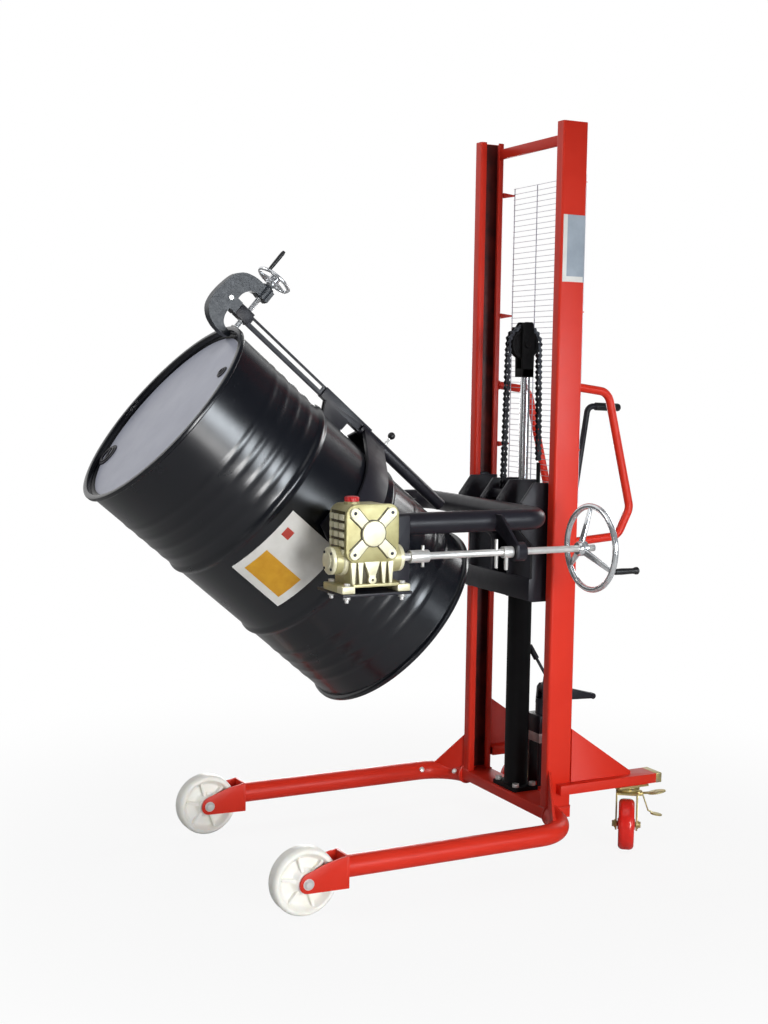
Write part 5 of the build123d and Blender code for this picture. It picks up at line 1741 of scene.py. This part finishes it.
@dataclass
class Pump:
    """Hand pump on its stand, with the long lever and the foot pedal."""

    pivot: Pair = (-100.0, 425.0)
    pedal_pivot: Pair = (-138.0, 380.0)
    lever_bend: float = 22.0
    lever_radius: float = 9.0
    lever_end: Triple = (-342.0, 0.0, 1268.0)
    grip_start: Triple = (-254.0, 0.0, 1271.1)

    def build(self) -> None:
        """Dress the body, then make the pedal, the valve block and the lever."""
        dress(["pump_body"], 1.5)
        self.pedal()
        self.valve_block()
        self.lever()

    def pedal(self) -> None:
        """Foot pedal: a cranked tapering arm with a rounded end."""
        x, z = self.pedal_pivot
        work = Workpiece()
        eye = mirrored([(5.1, -12), (10, -12), (11, -11)])
        work.turn(eye, (x, 0, z), ACROSS, 32, loop=True)
        work.arm((x - 4, 0, z + 4), (-188, 0, 402), ACROSS, (24, 24), (24, 34), 4.0)
        work.arm((-184, 0, 402), (-268, 0, 389), ACROSS, (24, 22), (35, 17), 4.0)
        work.turn(mirrored([(0, -12), (7, -12), (9, -9.5)]), (-272, 0, 388), ACROSS, 28)
        work.stand_for("foot_pedal", "cranked_pedal", BLACK_COAT)

    def valve_block(self) -> None:
        """Bare aluminium block under the pump, with two plugs in its near face."""
        work = Workpiece()
        work.block((-122.4, -30.4, 266.2), (-65.6, 30.4, 296.8), 1.2)
        for x in (-108, -80):
            work.bar((x, 30, 281.5), (x, 34.5, 281.5), 7.0, 0.8, sides=6)
        work.piece("valve_block", PALE_CASTING, "chassis")

    def lever(self) -> None:
        """Bent lever with an eye at its pivot and a moulded grip."""
        x, z = self.pivot
        work = Workpiece()
        work.bent_bar([(x, 0, z), (-228, 0, 1272), self.lever_end], self.lever_bend, self.lever_radius)
        eye = mirrored([(6.1, -12), (13.5, -12), (15, -10.5)])
        work.turn(eye, (x, 0, z), ACROSS, 32, loop=True)
        work.stand_for("pump_lever", "bent_lever", BLACK_COAT)
        grip = Workpiece()
        way = (Vector(self.lever_end) - Vector(self.grip_start)).normalized()
        outline = [(8.9, 0), (11, 0), (12, 1.5), (12, 82), (10.5, 86.5), (7, 88), (0, 88.1)]
        grip.turn(outline, self.grip_start, way, 32)
        grip.piece("lever_grip", GRIP_PLASTIC, "lever", "black_plastic")


@dataclass
class Guard:
    """Welded wire guard on short brackets behind the columns."""

    x: float = -75.0
    reach: Pair = (-197.5, 180.0)
    levels: Pair = (1000.0, 1921.0)
    rows: int = 57
    columns: int = 3
    wire: float = 0.75
    stay: float = 1.5
    brackets: tuple[float, ...] = (1900.0, 1540.0, 1152.0)
    column_back: float = -41.0

    def build(self) -> None:
        """Dress the castor plates below, weld the wires and set the brackets."""
        dress(["castor_plates"], 1.0)
        (right, left), (low, high), inset = self.reach, self.levels, self.stay
        net = Workpiece()
        for row in range(self.rows + 1):
            z = low + inset + (high - low - 2 * inset) * row / self.rows
            net.bar((self.x, right, z), (self.x, left, z), self.wire, 0.0, 8)
        for column in range(self.columns + 1):
            y = right + inset + (left - right - 2 * inset) * column / self.columns
            net.bar((self.x - 2, y, low), (self.x - 2, y, high), self.stay, 0.0, 10)
        net.stand_for("mesh_guard", "wire_guard", ZINC_WIRE)
        tabs = Workpiece()
        for z in self.brackets:
            for root, edge in ((-203.0, right), (203.0, left)):
                foot = (self.column_back + 1, root, z - 1)
                tabs.arm(foot, (self.x - 3, edge, z), UP, (16, 4), (7, 5), 0.8)
        tabs.piece("guard_brackets", RED_COAT, "chassis", "red_paint")


def main() -> None:
    """Build the studio and every sub-assembly in order."""
    logging.basicConfig(level=logging.INFO, format="%(name)s: %(message)s")
    Studio().build()
    assemblies = [Mast(), Undercarriage(), FrontWheel(Side.LEFT), FrontWheel(Side.RIGHT), Castor(Side.LEFT),
                  Castor(Side.RIGHT), Lift(), Carriage(), Gearbox(), Handwheel(), Holder(), Drum(), Pump(),
                  Guard()]
    for assembly in assemblies:
        assembly.build()


if __name__ == "__main__":
    main()
